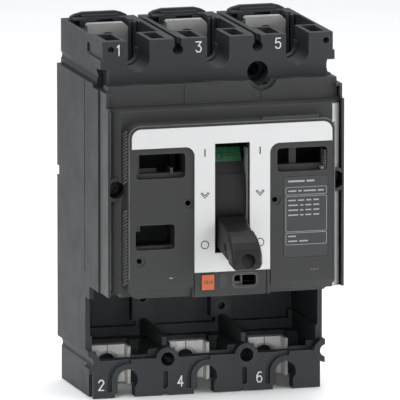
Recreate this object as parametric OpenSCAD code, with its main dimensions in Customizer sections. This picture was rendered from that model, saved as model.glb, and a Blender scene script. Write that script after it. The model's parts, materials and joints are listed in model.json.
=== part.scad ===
// Three-pole moulded-case circuit breaker frame, built as an assembly.
// Origin: centre of the back mounting face. +X right, +Z up, the front faces -Y.
// Depths (d...) are measured forward from the back face, so a depth d lies at y = -d.

/* [Overall size] */
// Distance between neighbouring poles
pole_pitch = 35; // [34.8:0.1:35.4]
// Width of the case body
body_w = 105; // [104.8:0.2:106]
// Width across the two terminal zones
terminal_zone_w = 101.4; // [101:0.2:102]
// Height over the terminal zones
body_h = 156.4; // [155.6:0.2:158]
// Distance between the upper and lower mounting holes
hole_spacing_z = 125; // [124.6:0.1:125.4]
// Diameter of the mounting holes
mount_hole_d = 6; // [5.5:0.1:6.4]

/* [Depths] */
// Depth of the seam between the base and the middle case
base_d = 45; // [44.6:0.2:45.4]
// Depth of the seam between the middle case and the cover
seam_d = 67; // [66.8:0.1:67.4]
// Depth of the cover's outer face
cover_d = 80; // [79.6:0.2:80.6]
// Depth of the cover's raised zone
raised_d = 88; // [87.8:0.1:88.4]
// Depth of the upper terminal block's front
upper_block_d = 66.5; // [66:0.1:66.6]
// Depth of the lower terminal block's front
lower_block_d = 49.8; // [49:0.2:50.6]

/* [Handle] */
// Angle that the handle hangs below level when the contacts are open
handle_angle = 20; // [19:0.5:20]
// Radius of the curved shroud that fills the handle slot
shroud_r = 38; // [37.8:0.1:38.2]

/* [Contacts] */
// Angle between the open and the closed moving contact
contact_open_angle = 25; // [24:0.5:25]
// Radius of a contact rotor
rotor_r = 10; // [9.6:0.1:10]
// Width of a terminal plate
terminal_w = 17.9; // [17:0.1:18]
// Diameter of the hole in a terminal plate
terminal_hole_d = 8.6; // [8:0.1:9]

/* [Hidden] */
$fn = 48;
hull_fn = 24;
cut = 1;
poles = [-1, 0, 1];

// Case outline
half_w = body_w / 2;
zone_half_w = terminal_zone_w / 2;
half_h = body_h / 2;
hole_z = hole_spacing_z / 2;
hole_x = pole_pitch / 2;
hole_r = mount_hole_d / 2;
groove_x = half_w + 0.4;
groove_r = 2.7;
seam_t = 0.8;
wide_top_z = 59;
wide_bottom_z = -59.5;
front_bottom_z = -29;
wall_t = 2;
floor_t = 3;
partition_t = 1.8;
cavity_top_z = 56;
cavity_bottom_z = -27.3;

// Upper terminal bays
bay_half_w = 14.6;
bay_floor_z = 61.8;
terminal_front_d = 18.4;
terminal_t = 4;
terminal_back_d = terminal_front_d - terminal_t;
terminal_hole_z = 70;
terminal_top_z = 78.1;
bar_gap = 0.1;
interphase_gap = 1.8;
clip_z0 = 70.8;
clip_z1 = 74.8;
keyhole_z = 73.4;
keyhole_r = 2.3;
keyhole_d = 57;
pocket_wall_t = 2.2;
counterbore_r = 4.7;
counterbore_start_d = 58;
shelf_d = 9;
shelf_z = 75.2;
shelf_end_x = 9.7;
u_slot_half_w = 5.1;
u_slot_z = 70;
u_rim_r = 4.5;
u_rim_d = 49;

// Lower bay and load terminal zone
bay_floor_d = 4.5;
bay_bottom_z = -52;
divider_t = 1.8;
screw_tube_r = 4.4;
load_bay_half_w = pole_pitch / 2 - divider_t / 2;
bay_edge_x = 49.6;
front_wall_d = 44;
post_half_w = 4.5;
post_d = 10.5;
insert_places = [[-hole_x, -43.2], [hole_x, -48.3], [hole_x, -42.4]];
insert_r = 2.4;
insert_hole_r = 1.7;
boss_top_z = -58.8;
load_top_z = -61.4;
load_pocket_z = -62;
load_step_z = -60.9;
load_hole_z = -69.4;
arch_r = 4.5;
arch_z = -70.7;
ring_d = lower_block_d + 0.6;
ring_outer_r = 5;

// Pole cartridges
rotor_d = 23;
rotor_z = 14;
cartridge_half_w = 15.3;
cartridge_back_d = 4;
cartridge_front_d = 41.4;
cartridge_bottom_z = -27;
cartridge_top_z = 55;
shell_t = 1.6;
rotor_clearance = 0.05;
contact_bar_t = 3;
contact_bar_half_w = 4.5;
contact_reach = 27.4;
tip_t = 1;
fixed_tip_t = 2;
load_bar_back_d = 2 * rotor_d - terminal_front_d;
load_bar_front_d = 2 * rotor_d - terminal_back_d;
rod_r = 2;
rod_radius = 6.5;
rod_angle = 45;
rod_end_x = half_w - wall_t - 0.6;
pin_clearance = 0.05;
chute_plates = 8;
chute_plate_t = 1;
chute_pitch = 2.5;
chute_start_d = 20.4;
chute_bottom_z = 43.5;
chute_top_z = 53.2;
chute_half_w = 12.5;
chute_side_t = 1.2;

// Operating mechanism
pivot_d = 47;
pivot_z = 13.05;
pivot_pin_r = 2.5;
plate_x = 14.2;
plate_t = 1.5;
leg_x = 10.2;
leg_t = 1.5;
leg_half_w = 4.2;
yoke_r = 34.6;
yoke_t = 1.6;
stem_half_w = 4.5;
stem_half_t = 3;
spacer_r = 2;
well_half_w = 19;
well_t = 2;
cradle_d = 56;
cradle_z = 32;
upper_link_x = 12.2;
upper_link_t = 1.4;
drive_link_x = 16.8;
drive_link_t = 1.4;
link_half_w = 3.2;
knee_clearance = 0.6;
drive_link_l = 28;
upper_link_l = 12.3;
trip_bar_d = 58;
trip_bar_z = -12;
trip_bar_r = 2;

// Crank pin, and the knee where the drive link meets the upper link
crank_a = 90 - contact_open_angle + rod_angle;
crank_d = rotor_d + rod_radius * cos(crank_a);
crank_z = rotor_z + rod_radius * sin(crank_a);
span_l = norm([cradle_d - crank_d, cradle_z - crank_z]);
span_a = atan2(cradle_z - crank_z, cradle_d - crank_d);
knee_turn = acos((pow(drive_link_l, 2) + pow(span_l, 2) - pow(upper_link_l, 2))
    / (2 * drive_link_l * span_l));
knee_d = crank_d + drive_link_l * cos(span_a - knee_turn);
knee_z = crank_z + drive_link_l * sin(span_a - knee_turn);

// Cover
cover_half_w = half_w - 0.6;
skirt_t = 1.1;
rim_d = cover_d - 0.4;
cover_edge_x = 50.3;
bevel_x = 46.3;
bevel_edge_d = cover_d - 2.8;
cover_top_z = 60;
upper_zone_d = 73.6;
upper_zone_z = 51.6;
cover_t = 2.4;
raised_half_w = 45.3;
raised_top_z = 45.4;
raised_r = 5;
slot_half_w = 7.7;
slot_bottom_z = -10.4;
slot_top_z = 36.5;
screw_x = 48.3;
screw_z = 17;
screw_recess_r = 3.7;
plate_d = raised_d + 1;

// Trip button
button_x0 = -13.3;
button_x1 = -7.9;
button_z0 = -26.1;
button_z1 = -19.6;
button_gap = 0.3;
button_travel = 2.5;
button_x = (button_x0 + button_x1) / 2;
button_z = (button_z0 + button_z1) / 2;
plunger_r = 1.4;
spring_r = 2.3;
spring_hole_r = 1.7;

// Block between two X values, two depths and two heights
module block(x0, x1, d0, d1, z0, z1) {
    translate([x0, -d1, z0])
        cube([x1 - x0, d1 - d0, z1 - z0]);
}

// The same block on both sides of the middle
module block_pair(x0, x1, d0, d1, z0, z1) {
    block(x0, x1, d0, d1, z0, z1);
    block(-x1, -x0, d0, d1, z0, z1);
}

// Round bar or bore along Y between two depths
module rod_y(x, z, r, d0, d1) {
    translate([x, -d0, z])
        rotate([90, 0, 0])
            cylinder(r = r, h = d1 - d0);
}

// Round bar or bore along X between two X values
module rod_x(d, z, r, x0, x1) {
    translate([x0, -d, z])
        rotate([0, 90, 0])
            cylinder(r = r, h = x1 - x0);
}

// Front-view outline (X, Z) made solid between two depths
module front_slab(d0, d1) {
    translate([0, -d0, 0])
        rotate([90, 0, 0])
            linear_extrude(d1 - d0)
                children();
}

// Side-view outline (depth, Z) made solid between two X values
module side_slab(x0, x1) {
    translate([x1, 0, 0])
        rotate([90, 0, -90])
            linear_extrude(x1 - x0)
                children();
}

// Top-view outline (X, depth) made solid between two heights
module top_slab(z0, z1) {
    translate([0, 0, z0])
        mirror([0, 1, 0])
            linear_extrude(z1 - z0)
                children();
}

// Block with its four edges along Y rounded
module round_block(x0, x1, d0, d1, z0, z1, r) {
    block(x0 + r, x1 - r, d0, d1, z0, z1);
    block(x0, x1, d0, d1, z0 + r, z1 - r);
    for (x = [x0 + r, x1 - r])
        for (z = [z0 + r, z1 - r])
            rod_y(x, z, r, d0, d1);
}

// Bar with round ends along Y, standing upright in the front view
module upright_slot(x, r, d0, d1, z0, z1) {
    block(x - r, x + r, d0, d1, z0, z1);
    rod_y(x, z0, r, d0, d1);
    rod_y(x, z1, r, d0, d1);
}

// Link seen from the side, with a round eye at each end
module link_outline(d0, z0, d1, z1, half_w) {
    length = norm([d1 - d0, z1 - z0]);
    translate([d0, z0])
        circle(r = half_w);
    translate([d1, z1])
        circle(r = half_w);
    translate([d0, z0])
        rotate(atan2(z1 - z0, d1 - d0))
            translate([0, 0.6 - half_w])
                square([length, 2 * half_w - 1.2]);
}

// Part of a ring about the handle's pivot, angles measured up from level
module ring_sector(r0, r1, a0, a1, x0, x1) {
    reach = 2 * r1;
    mid = (a0 + a1) / 2;
    translate([0, -pivot_d, pivot_z])
        intersection() {
            difference() {
                rod_x(0, 0, r1, x0, x1);
                rod_x(0, 0, r0, x0 - cut, x1 + cut);
            }
            side_slab(x0 - cut, x1 + cut)
                polygon([
                    [0, 0],
                    [reach * cos(a0), reach * sin(a0)],
                    [reach * cos(mid), reach * sin(mid)],
                    [reach * cos(a1), reach * sin(a1)]
                ]);
        }
}

// Places children in the handle's own axes: depth runs out along the handle
module at_handle() {
    translate([0, -pivot_d, pivot_z])
        rotate([handle_angle, 0, 0])
            children();
}

// Places children in the axes of the open moving contacts
module at_rotor() {
    translate([0, -rotor_d, rotor_z])
        rotate([contact_open_angle, 0, 0])
            children();
}

// Half-round mounting grooves and their counterbores on both sides
module side_grooves(d_end) {
    for (x = [-groove_x, groove_x])
        for (z = [-hole_z, hole_z])
            rod_y(x, z, groove_r, -cut, d_end);
}

// Interphase gap with its keyhole at the front, for the upper terminal block
module interphase_gaps(d0, d1) {
    for (x = [-hole_x, hole_x])
        block(x - interphase_gap / 2, x + interphase_gap / 2, d0, d1,
            keyhole_z, half_h + cut);
}

// Base: back wall, side walls, pole partitions, terminal bays and lower bay
module base_outline() {
    block(-half_w, half_w, 0, base_d, wide_bottom_z, wide_top_z);
    block(-zone_half_w, zone_half_w, 0, base_d, wide_top_z - cut, half_h);
    block(-zone_half_w, zone_half_w, 0, base_d, -half_h, wide_bottom_z + cut);
    block(-zone_half_w + 0.4, zone_half_w - 0.4, base_d - cut, lower_block_d, -half_h, -62);
    block_pair(half_w - wall_t - 0.2, half_w, base_d - cut, 51.6, -34.6, -23.8);
    block_pair(half_w - wall_t - 0.2, half_w, base_d - cut, lower_block_d, -62.5, -57.5);
}

module base_pole_cuts(x) {
    // Room for the pole's cartridge
    block(x - hole_x + partition_t / 2, x + hole_x - partition_t / 2, floor_t,
        base_d + cut, cavity_bottom_z, cavity_top_z);
    // Upper terminal bay, open at the top
    block(x - bay_half_w, x + bay_half_w, terminal_front_d, base_d + cut, bay_floor_z,
        half_h + cut);
    block(x - terminal_w / 2 - bar_gap, x + terminal_w / 2 + bar_gap, terminal_back_d - bar_gap,
        terminal_front_d + cut, cavity_top_z - cut, half_h + cut);
    block(x - bay_half_w, x + shelf_end_x, shelf_d, terminal_front_d + cut, shelf_z, half_h + cut);
    block(x - bay_half_w, x - shelf_end_x, shelf_d - 3, terminal_front_d + cut, shelf_z - 6,
        half_h + cut);
    for (groove = [10.4, 12.6])
        block(x + groove, x + groove + 0.9, terminal_front_d - 3, terminal_front_d + cut,
            bay_floor_z, half_h + cut);
    block(x - 2.4, x + 5.2, shelf_d - 4, shelf_d + cut, half_h - 1.3, half_h + cut);
    block(x - 3.6, x + 3.6, 10, terminal_back_d + cut, 67, 75.4);
    // Room for the load contact bar, through the wall above the lower bay
    block(x - terminal_w / 2 - bar_gap, x + terminal_w / 2 + bar_gap, load_bar_back_d - bar_gap,
        load_bar_front_d + bar_gap, front_bottom_z - cut, cavity_bottom_z + cut);
    // Load terminal bay, open at the bottom, and the lowered edge in front of it
    x0 = max(x - load_bay_half_w, -bay_edge_x);
    x1 = min(x + load_bay_half_w, bay_edge_x);
    block(x0, x1, terminal_front_d, front_wall_d, -half_h - cut, bay_bottom_z);
    block(x0, x1, front_wall_d - cut, lower_block_d + cut, boss_top_z, bay_bottom_z);
    front_slab(front_wall_d - cut, lower_block_d + 2)
        polygon([
            [x - 12.8, boss_top_z + cut], [x - 12.8, boss_top_z], [x - 12.2, load_pocket_z],
            [x + 2.6, load_pocket_z], [x + 2.9, load_step_z], [x + 10.4, load_step_z],
            [x + 10.6, boss_top_z], [x + 10.6, boss_top_z + cut]
        ]);
    block(x - terminal_w / 2 - 0.6, x + terminal_w / 2 + 0.6, terminal_back_d - bar_gap,
        terminal_front_d + cut, -half_h - cut, bay_bottom_z);
    // Steps behind the load terminal
    block(x0, x1, 9, terminal_front_d + cut, -59.6, bay_bottom_z);
    front_slab(bay_floor_d, terminal_front_d + cut)
        polygon([
            [x0 + 2.4, bay_bottom_z + cut], [x0 + 2.4, bay_bottom_z], [x0 + 5.2, -55.6],
            [x1 - 1.4, -55.6], [x1 - 1.4, bay_bottom_z + cut]
        ]);
    // Arched opening in the front of the lower block
    block(x - arch_r, x + arch_r - 1.2, front_wall_d - cut, lower_block_d + cut, -half_h - cut,
        arch_z);
    rod_y(x, arch_z, arch_r, front_wall_d - cut, lower_block_d + cut);
    block(x - arch_r, x + arch_r, front_wall_d - cut, lower_block_d + cut, -72.4, arch_z);
    block(x - arch_r - 1.2, x, front_wall_d - cut, lower_block_d + cut, -half_h - cut, -76.2);
}

// Curved groove to the left of each arch
module arch_groove(x) {
    groove_in_r = 7;
    groove_out_r = 9.2;
    groove_bottom_z = -75.6;
    groove_t = 1.6;
    intersection() {
        difference() {
            union() {
                rod_y(x, arch_z, groove_out_r, lower_block_d - groove_t, lower_block_d + cut);
                block(x - groove_out_r, x, lower_block_d - groove_t, lower_block_d + cut,
                    groove_bottom_z, arch_z);
            }
            rod_y(x, arch_z, groove_in_r, lower_block_d - 2 * groove_t, lower_block_d + 2 * cut);
            block(x - groove_in_r, x + cut, lower_block_d - 2 * groove_t,
                lower_block_d + 2 * cut, groove_bottom_z - cut, arch_z);
        }
        block(x - groove_out_r - cut, x + 1.5, lower_block_d - 2 * groove_t,
            lower_block_d + 2 * cut, groove_bottom_z, load_pocket_z);
    }
}

module base_case() {
    color([0.27, 0.28, 0.29])
    difference() {
        union() {
            difference() {
                base_outline();
                for (i = poles)
                    base_pole_cuts(i * pole_pitch);
                // Lower bay across all poles, for the trip unit
                block(-half_w + wall_t, half_w - wall_t, bay_floor_d, lower_block_d + 3, bay_bottom_z,
                    front_bottom_z);
                block(-half_w + wall_t, half_w - wall_t, base_d + 0.5, lower_block_d + 3, -57.6,
                    -35);
            }
            // Posts on the bay floor that take the trip unit's screws
            for (x = [-hole_x, hole_x])
                block(x - post_half_w, x + post_half_w, bay_floor_d - cut, post_d, bay_bottom_z - 1,
                    front_bottom_z + cut);
            // Screw tubes across the load bays
            for (x = [-hole_x, hole_x]) {
                rod_y(x, -hole_z, screw_tube_r, terminal_front_d - cut, front_wall_d + cut);
                block(x - screw_tube_r, x + screw_tube_r, terminal_front_d - cut,
                    front_wall_d + cut, -half_h, -hole_z);
            }
            // Ring bosses round the lower mounting holes
            for (x = [-hole_x, hole_x])
                rod_y(x, -hole_z, ring_outer_r, lower_block_d - 8, lower_block_d + 0.3);
            for (x = [-hole_x, hole_x])
                rod_y(x, -hole_z, hole_r + 0.7, lower_block_d - 8, ring_d);
            intersection() {
                for (x = [-half_w, half_w])
                    rod_y(x, -hole_z, ring_outer_r, base_d - 3, lower_block_d + 0.3);
                block(-half_w + 0.2, half_w - 0.2, 0, lower_block_d + cut, -half_h, wide_bottom_z + 3);
            }
            // Raised ribs on the outer sides of the upper zone
            block_pair(zone_half_w - cut, zone_half_w + 0.8, base_d - 0.6, base_d, 66.4, 70.4);
        }
        // Sloping tops of the walls between the load bays
        for (x = [-hole_x, hole_x])
            side_slab(x - divider_t / 2 - cut, x + divider_t / 2 + cut)
                polygon([
                    [14, bay_bottom_z + cut],
                    [14, bay_bottom_z + 0.2],
                    [lower_block_d + 3, bay_bottom_z - 2.4],
                    [lower_block_d + 3, bay_bottom_z + cut]
                ]);
        // Mounting holes
        rod_y(hole_x, hole_z, hole_r, -cut, base_d + cut);
        for (x = [-hole_x, hole_x])
            rod_y(x, -hole_z, hole_r, -cut, ring_d + cut);
        side_grooves(lower_block_d + 2);
        // Openings round the contact rotors and the drive links
        for (x = [-hole_x, hole_x])
            block(x - partition_t, x + partition_t, 10, base_d + cut, 1, 30);
        // Screw holes in the posts
        for (p = insert_places)
            rod_y(p[0], p[1], insert_r, bay_floor_d + 0.6, post_d + cut);
        // Gaps between the phases, top and bottom
        interphase_gaps(-cut, base_d + cut);
        for (x = [-hole_x, hole_x])
            block(x - 0.6, x + 0.6, -cut, base_d - 4, -half_h - cut, -68.5);
        // Rounded slots and small notches below the rings
        for (x = [-hole_x, hole_x])
            upright_slot(x - 0.9, 1.15, lower_block_d - 2.4, lower_block_d + cut, -74.2, -68.7);
        for (x = [-hole_x, hole_x])
            front_slab(base_d - 14, lower_block_d + cut)
                polygon([
                    [x - 2.4, -half_h - cut],
                    [x - 2.4, -half_h + 1.7],
                    [x + 1.3, -half_h - 0.1],
                    [x + 1.3, -half_h - cut]
                ]);
        for (i = poles)
            arch_groove(i * pole_pitch);
        // Recessed strips at the front corners of the lower block
        block_pair(zone_half_w - 1.9, zone_half_w + cut, 44.2, lower_block_d - 1.4, -half_h - cut,
            -66.4);
        // Seam with the middle case
        block_pair(half_w - seam_t, half_w + cut, base_d - seam_t, base_d + cut, -23.8,
            wide_top_z + cut);
        // Clip slots in the sides of the upper zone
        block_pair(zone_half_w - 1.2, zone_half_w + cut, 42.6, base_d + cut, clip_z0, clip_z1);
        // Rectangular notches in the side edges of the back face
        block_pair(half_w - 1.2, half_w + cut, -cut, 3.2, 10.7, 14.9);
    }
}

// Pockets in the pillars beside one slot of the upper block
module pillar_pockets(x) {
    block(x - 12.9, x - 6.7, base_d + pocket_wall_t, 63, 64, half_h + cut);
    block(x + 6.9, x + 12.9, base_d + pocket_wall_t, 63, 64, half_h + cut);
}

// Middle case: side walls, mechanism well, accessory floors and upper pillars
module mid_case() {
    color([0.29, 0.3, 0.31])
    difference() {
        union() {
            block(-half_w, half_w, base_d, seam_d, front_bottom_z, wide_top_z);
            block(-zone_half_w, zone_half_w, base_d, upper_block_d, wide_top_z - cut, half_h);
            block_pair(zone_half_w - cut, zone_half_w + 0.8, base_d, upper_block_d, 66.4, 70.4);
        }
        // Step that the base's front corners fill
        block_pair(half_w - wall_t - 0.2, half_w + cut, base_d - cut, 51.6, front_bottom_z - cut,
            -23.8);
        // Hollow behind the accessory floors
        block_pair(well_half_w + well_t, half_w - wall_t, base_d - cut, 60, -27, cavity_top_z);
        // Accessory compartments in front of the floors
        block_pair(well_half_w + well_t, half_w - wall_t, 62.5, seam_d + cut, -27, cavity_top_z);
        // Well for the operating mechanism
        block(-well_half_w, well_half_w, base_d - cut, seam_d + cut, -27, cavity_top_z);
        // Blind holes for the mechanism's spacers
        for (p = spacer_places())
            rod_x(p[0], p[1], spacer_r, -well_half_w - 1, well_half_w + 1);
        // Slots of the upper terminal block, each with a stepped round floor
        for (i = poles) {
            x = i * pole_pitch;
            block(x - u_slot_half_w, x + u_slot_half_w, u_rim_d, upper_block_d + cut, u_slot_z,
                half_h + cut);
            rod_y(x, u_slot_z, u_slot_half_w, u_rim_d, upper_block_d + cut);
            block(x - u_slot_half_w, x + u_slot_half_w, base_d - cut, u_rim_d + cut, u_slot_z + 2,
                half_h + cut);
            rod_y(x, u_slot_z, u_rim_r, base_d - cut, u_rim_d + cut);
            block(x - u_rim_r, x + u_rim_r, base_d - cut, u_rim_d + cut, u_slot_z, u_slot_z + 3);
            pillar_pockets(x);
        }
        // Gaps between the phases, ending in keyholes at the front
        interphase_gaps(base_d - cut, upper_block_d + cut);
        for (x = [-hole_x, hole_x]) {
            block(x - 1.5, x + 1.5, 62, upper_block_d + cut, keyhole_z, half_h + cut);
            rod_y(x, keyhole_z, keyhole_r, keyhole_d, upper_block_d + cut);
        }
        // Mounting hole with its counterbore
        rod_y(hole_x, hole_z, hole_r, base_d - cut, counterbore_start_d + cut);
        rod_y(hole_x, hole_z, counterbore_r, counterbore_start_d, seam_d + cut);
        for (x = [-groove_x, groove_x])
            rod_y(x, hole_z, groove_r, base_d - cut, counterbore_start_d + cut);
        // Square notches at the front corners
        block_pair(47.9, half_w + cut, counterbore_start_d, seam_d + cut, 57.6, 66.4);
        // Seam with the cover
        block_pair(half_w - seam_t, half_w + cut, seam_d - seam_t, seam_d + cut,
            front_bottom_z - cut, wide_top_z + cut);
        // Pilot holes near the outer corners, and the clip slots in the sides
        for (x = [-46.9, 47.7])
            rod_y(x, 74.6, 1.4, upper_block_d - 6, upper_block_d + cut);
        for (s = [-1, 1])
            side_slab(s * zone_half_w - 1.2, s * zone_half_w + 1.2)
                polygon([
                    [base_d - cut, clip_z0], [base_d - cut, clip_z1], [base_d + 1, clip_z1],
                    [base_d + 4.4, clip_z0 + 2.6], [base_d + 2.6, clip_z0]
                ]);
    }
}

// Where the mechanism's spacers sit, as depth and height
function spacer_places() = [[50, -10], [68, -10], [50, 42], [60, 41]];

// Cover: skirt, bevelled face, raised zone with its windows
module cover_shell() {
    // Skirt
    difference() {
        union() {
            block(-cover_half_w, cover_half_w, seam_d, rim_d, front_bottom_z, upper_zone_z);
            block(-cover_half_w, cover_half_w, seam_d, 76.5, upper_zone_z - cut, 57.6);
            block(-cover_edge_x, cover_edge_x, seam_d, upper_zone_d, 57, cover_top_z);
        }
        block(-cover_half_w + skirt_t, cover_half_w - skirt_t, seam_d - cut, cover_d + 2,
            front_bottom_z - cut, 56.6);
        block(-cover_edge_x + skirt_t, cover_edge_x - skirt_t, seam_d - cut, cover_d, 50,
            cover_top_z - 1.6);
    }
    // Bevelled face, hollow behind
    difference() {
        union() {
            top_slab(front_bottom_z, upper_zone_z)
                polygon([
                    [-cover_half_w + skirt_t - 0.2, seam_d + 1],
                    [-cover_half_w + skirt_t - 0.2, bevel_edge_d - 2],
                    [-cover_edge_x, bevel_edge_d - 2],
                    [-cover_edge_x, bevel_edge_d],
                    [-bevel_x, cover_d],
                    [bevel_x, cover_d],
                    [cover_edge_x, bevel_edge_d],
                    [cover_edge_x, bevel_edge_d - 2],
                    [cover_half_w - skirt_t + 0.2, bevel_edge_d - 2],
                    [cover_half_w - skirt_t + 0.2, seam_d + 1]
                ]);
            block(-cover_edge_x, cover_edge_x, seam_d, upper_zone_d, upper_zone_z - cut,
                cover_top_z);
            block(-hole_x + 1, hole_x - 1, seam_d, upper_zone_d + 0.4, upper_zone_z - cut,
                cover_top_z - 0.8);
        }
        block(-cover_edge_x + cover_t, cover_edge_x - cover_t, seam_d - cut, bevel_edge_d - cover_t + 0.4,
            front_bottom_z + 1.8, 50);
        block(-bevel_x + cover_t, bevel_x - cover_t, seam_d - cut, cover_d - cover_t,
            front_bottom_z + 1.8, 50);
        block(-cover_edge_x + cover_t, cover_edge_x - cover_t, seam_d - cut,
            upper_zone_d - cover_t, 49, cover_top_z - 1.6);
        // Sloped step between the face and the upper zone
        side_slab(-cover_half_w + skirt_t, cover_half_w - skirt_t)
            polygon([
                [upper_zone_d + 0.4, upper_zone_z + 1],
                [upper_zone_d + 0.4, upper_zone_z],
                [cover_d + cut, 49.9],
                [cover_d + cut, upper_zone_z + 1]
            ]);
    }
}

// Raised zone in front of the face, with rounded top corners and a bevelled foot
module raised_zone() {
    foot_z = front_bottom_z + 4.5;
    difference() {
        union() {
            block(-raised_half_w, raised_half_w, cover_d - 3, raised_d, front_bottom_z,
                raised_top_z - raised_r);
            block(-raised_half_w + raised_r, raised_half_w - raised_r, cover_d - 3, raised_d,
                raised_top_z - raised_r - cut, raised_top_z);
            for (x = [-raised_half_w + raised_r, raised_half_w - raised_r])
                rod_y(x, raised_top_z - raised_r, raised_r, cover_d - 3, raised_d);
        }
        // Hollow
        block(-raised_half_w + cover_t, raised_half_w - cover_t, cover_d - 4, raised_d - cover_t,
            front_bottom_z + 1.8, raised_top_z - raised_r);
        // Bevel along the foot, either side of the middle strip
        for (s = [-1, 1])
            side_slab(min(s * 17.2, s * (raised_half_w + cut)),
                max(s * 17.2, s * (raised_half_w + cut)))
                polygon([
                    [raised_d + cut, foot_z],
                    [raised_d, foot_z],
                    [raised_d - 3.2, front_bottom_z + 0.6],
                    [raised_d - 3.2, front_bottom_z - cut],
                    [raised_d + cut, front_bottom_z - cut]
                ]);
        // Bevelled lower corners
        for (s = [-1, 1])
            mirror([s < 0 ? 1 : 0, 0, 0])
                front_slab(cover_d, raised_d + cut)
                    polygon([
                        [raised_half_w - 4, front_bottom_z - cut],
                        [raised_half_w - 4, front_bottom_z],
                        [raised_half_w, front_bottom_z + 3.5],
                        [raised_half_w + cut, front_bottom_z + 3.5],
                        [raised_half_w + cut, front_bottom_z - cut]
                    ]);
    }
}

// Walls round the windows and the handle slot, reaching back from the face
module window_walls(x0, x1, z0, z1, depth) {
    t = 1.4;
    block(x0 - t, x1 + t, raised_d - depth, raised_d - 1, z0 - t, z1 + t);
}

function windows() = [
    [-41.8, -20.3, 22.4, 33],
    [19.9, 42, 22.8, 33],
    [-42.2, -25, -7.9, 2.8]
];

module front_cover() {
    color([0.27, 0.275, 0.285])
    difference() {
        union() {
            difference() {
                union() {
                    cover_shell();
                    raised_zone();
                }
                block(-raised_half_w + cover_t, raised_half_w - cover_t, seam_d + cut,
                    raised_d - cover_t, front_bottom_z + 1.8, raised_top_z - raised_r);
            }
            for (w = windows())
                window_walls(w[0], w[1], w[2], w[3], 9);
            window_walls(-slot_half_w, slot_half_w, slot_bottom_z, slot_top_z, 5);
            window_walls(button_x0 - button_gap, button_x1 + button_gap, button_z0 - button_gap,
                button_z1 + button_gap, 7);
            // Screw pillars at the sides
            for (x = [-screw_x, screw_x])
                intersection() {
                    rod_y(x, screw_z, screw_recess_r + 1.4, seam_d, cover_d - 0.4);
                    block(-cover_half_w, cover_half_w, seam_d, cover_d, screw_z - 8, screw_z + 8);
                }
            // Shelf behind the trip button's spring
            block(button_x - 3.6, button_x + 3.6, seam_d, seam_d + 1, front_bottom_z + 1,
                button_z1 + 0.4);
        }
        // Windows, the handle slot and the button hole
        for (w = windows())
            round_block(w[0], w[1], raised_d - 12, raised_d + cut, w[2], w[3], 1.6);
        block(-slot_half_w, slot_half_w, raised_d - 12, raised_d + cut, slot_bottom_z, slot_top_z);
        block(button_x0 - button_gap, button_x1 + button_gap, raised_d - 12, raised_d + cut,
            button_z0 - button_gap, button_z1 + button_gap);
        // Lock aperture
        round_block(1, 10.6, raised_d - 6, raised_d + cut, -24.9, -20.4, 1.2);
        rod_y(button_x, button_z, spring_hole_r, seam_d - cut, seam_d + 2);
        // Screw recesses and the screws' own holes
        intersection() {
            union() {
                for (x = [-screw_x, screw_x])
                    rod_y(x, screw_z, screw_recess_r, cover_d - 8.5, cover_d + 2);
            }
            block(-cover_half_w + 0.8, cover_half_w - 0.8, seam_d, cover_d + 3, screw_z - 5, screw_z + 5);
        }
        for (x = [-screw_x, screw_x])
            rod_y(x, screw_z, 1.6, seam_d - cut, cover_d);
        // Cut-out round the upper mounting hole and its wider recess
        rod_y(hole_x, hole_z, counterbore_r + 0.5, seam_d - cut, cover_d + cut);
        rod_y(hole_x, hole_z, 7, upper_zone_d - 2, cover_d + cut);
        // Sockets for small indicator pins
        for (p = [[-19.1, 11.4], [19, 11.1], [-40.4, -12.5]]) {
            rod_y(p[0], p[1], 1.2, raised_d - 4, raised_d + cut);
            rod_y(p[0], p[1], 2.6, raised_d - 0.5, raised_d + cut);
        }
        // Finger notches in the lower corners
        block_pair(46.6, cover_half_w - skirt_t - 0.3, seam_d + 6, cover_d + 2, front_bottom_z - cut,
            front_bottom_z + 1.6);
        // Shallow recess for the rating label
        block(22.5, 42.4, raised_d - 0.2, raised_d + cut, -14.2, 20.8);
        // Grooves beside the middle strip at the foot
        for (x = [-16.6, 15.2, 16.8])
            block(x - 0.4, x + 0.4, raised_d - 0.8, raised_d + cut, front_bottom_z - cut, -19);
    }
}

// White faceplate: a T round the handle slot
module faceplate() {
    tab_half_w = 43.9;
    tab_bottom_z = 35.6;
    top_z = 43.9;
    corner_r = 4;
    column_half_w = 16.5;
    column_bottom_z = -18.4;
    fillet_r = 4.2;
    color([0.89, 0.89, 0.89])
    difference() {
        union() {
            block(-tab_half_w, tab_half_w, raised_d, plate_d, tab_bottom_z, top_z - corner_r);
            block(-tab_half_w + corner_r, tab_half_w - corner_r, raised_d, plate_d, tab_bottom_z,
                top_z);
            for (x = [-tab_half_w + corner_r, tab_half_w - corner_r])
                rod_y(x, top_z - corner_r, corner_r, raised_d, plate_d);
            block(-column_half_w, column_half_w, raised_d, plate_d, column_bottom_z, top_z - cut);
            block_pair(column_half_w - cut, column_half_w + fillet_r, raised_d, plate_d,
                tab_bottom_z - fillet_r, tab_bottom_z + cut);
        }
        for (x = [-column_half_w - fillet_r, column_half_w + fillet_r])
            rod_y(x, tab_bottom_z - fillet_r, fillet_r, raised_d - cut, plate_d + cut);
        block_pair(column_half_w + fillet_r, column_half_w + fillet_r + cut, raised_d - cut,
            plate_d + cut, tab_bottom_z - fillet_r - cut, tab_bottom_z);
        block(-slot_half_w, slot_half_w, raised_d - cut, plate_d + cut, slot_bottom_z, slot_top_z);
    }
}

module rating_label() {
    color([0.33, 0.34, 0.35])
        round_block(22.7, 42.2, raised_d - 0.2, raised_d + 0.15, -13.9, 20.6, 0.6);
}

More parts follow.
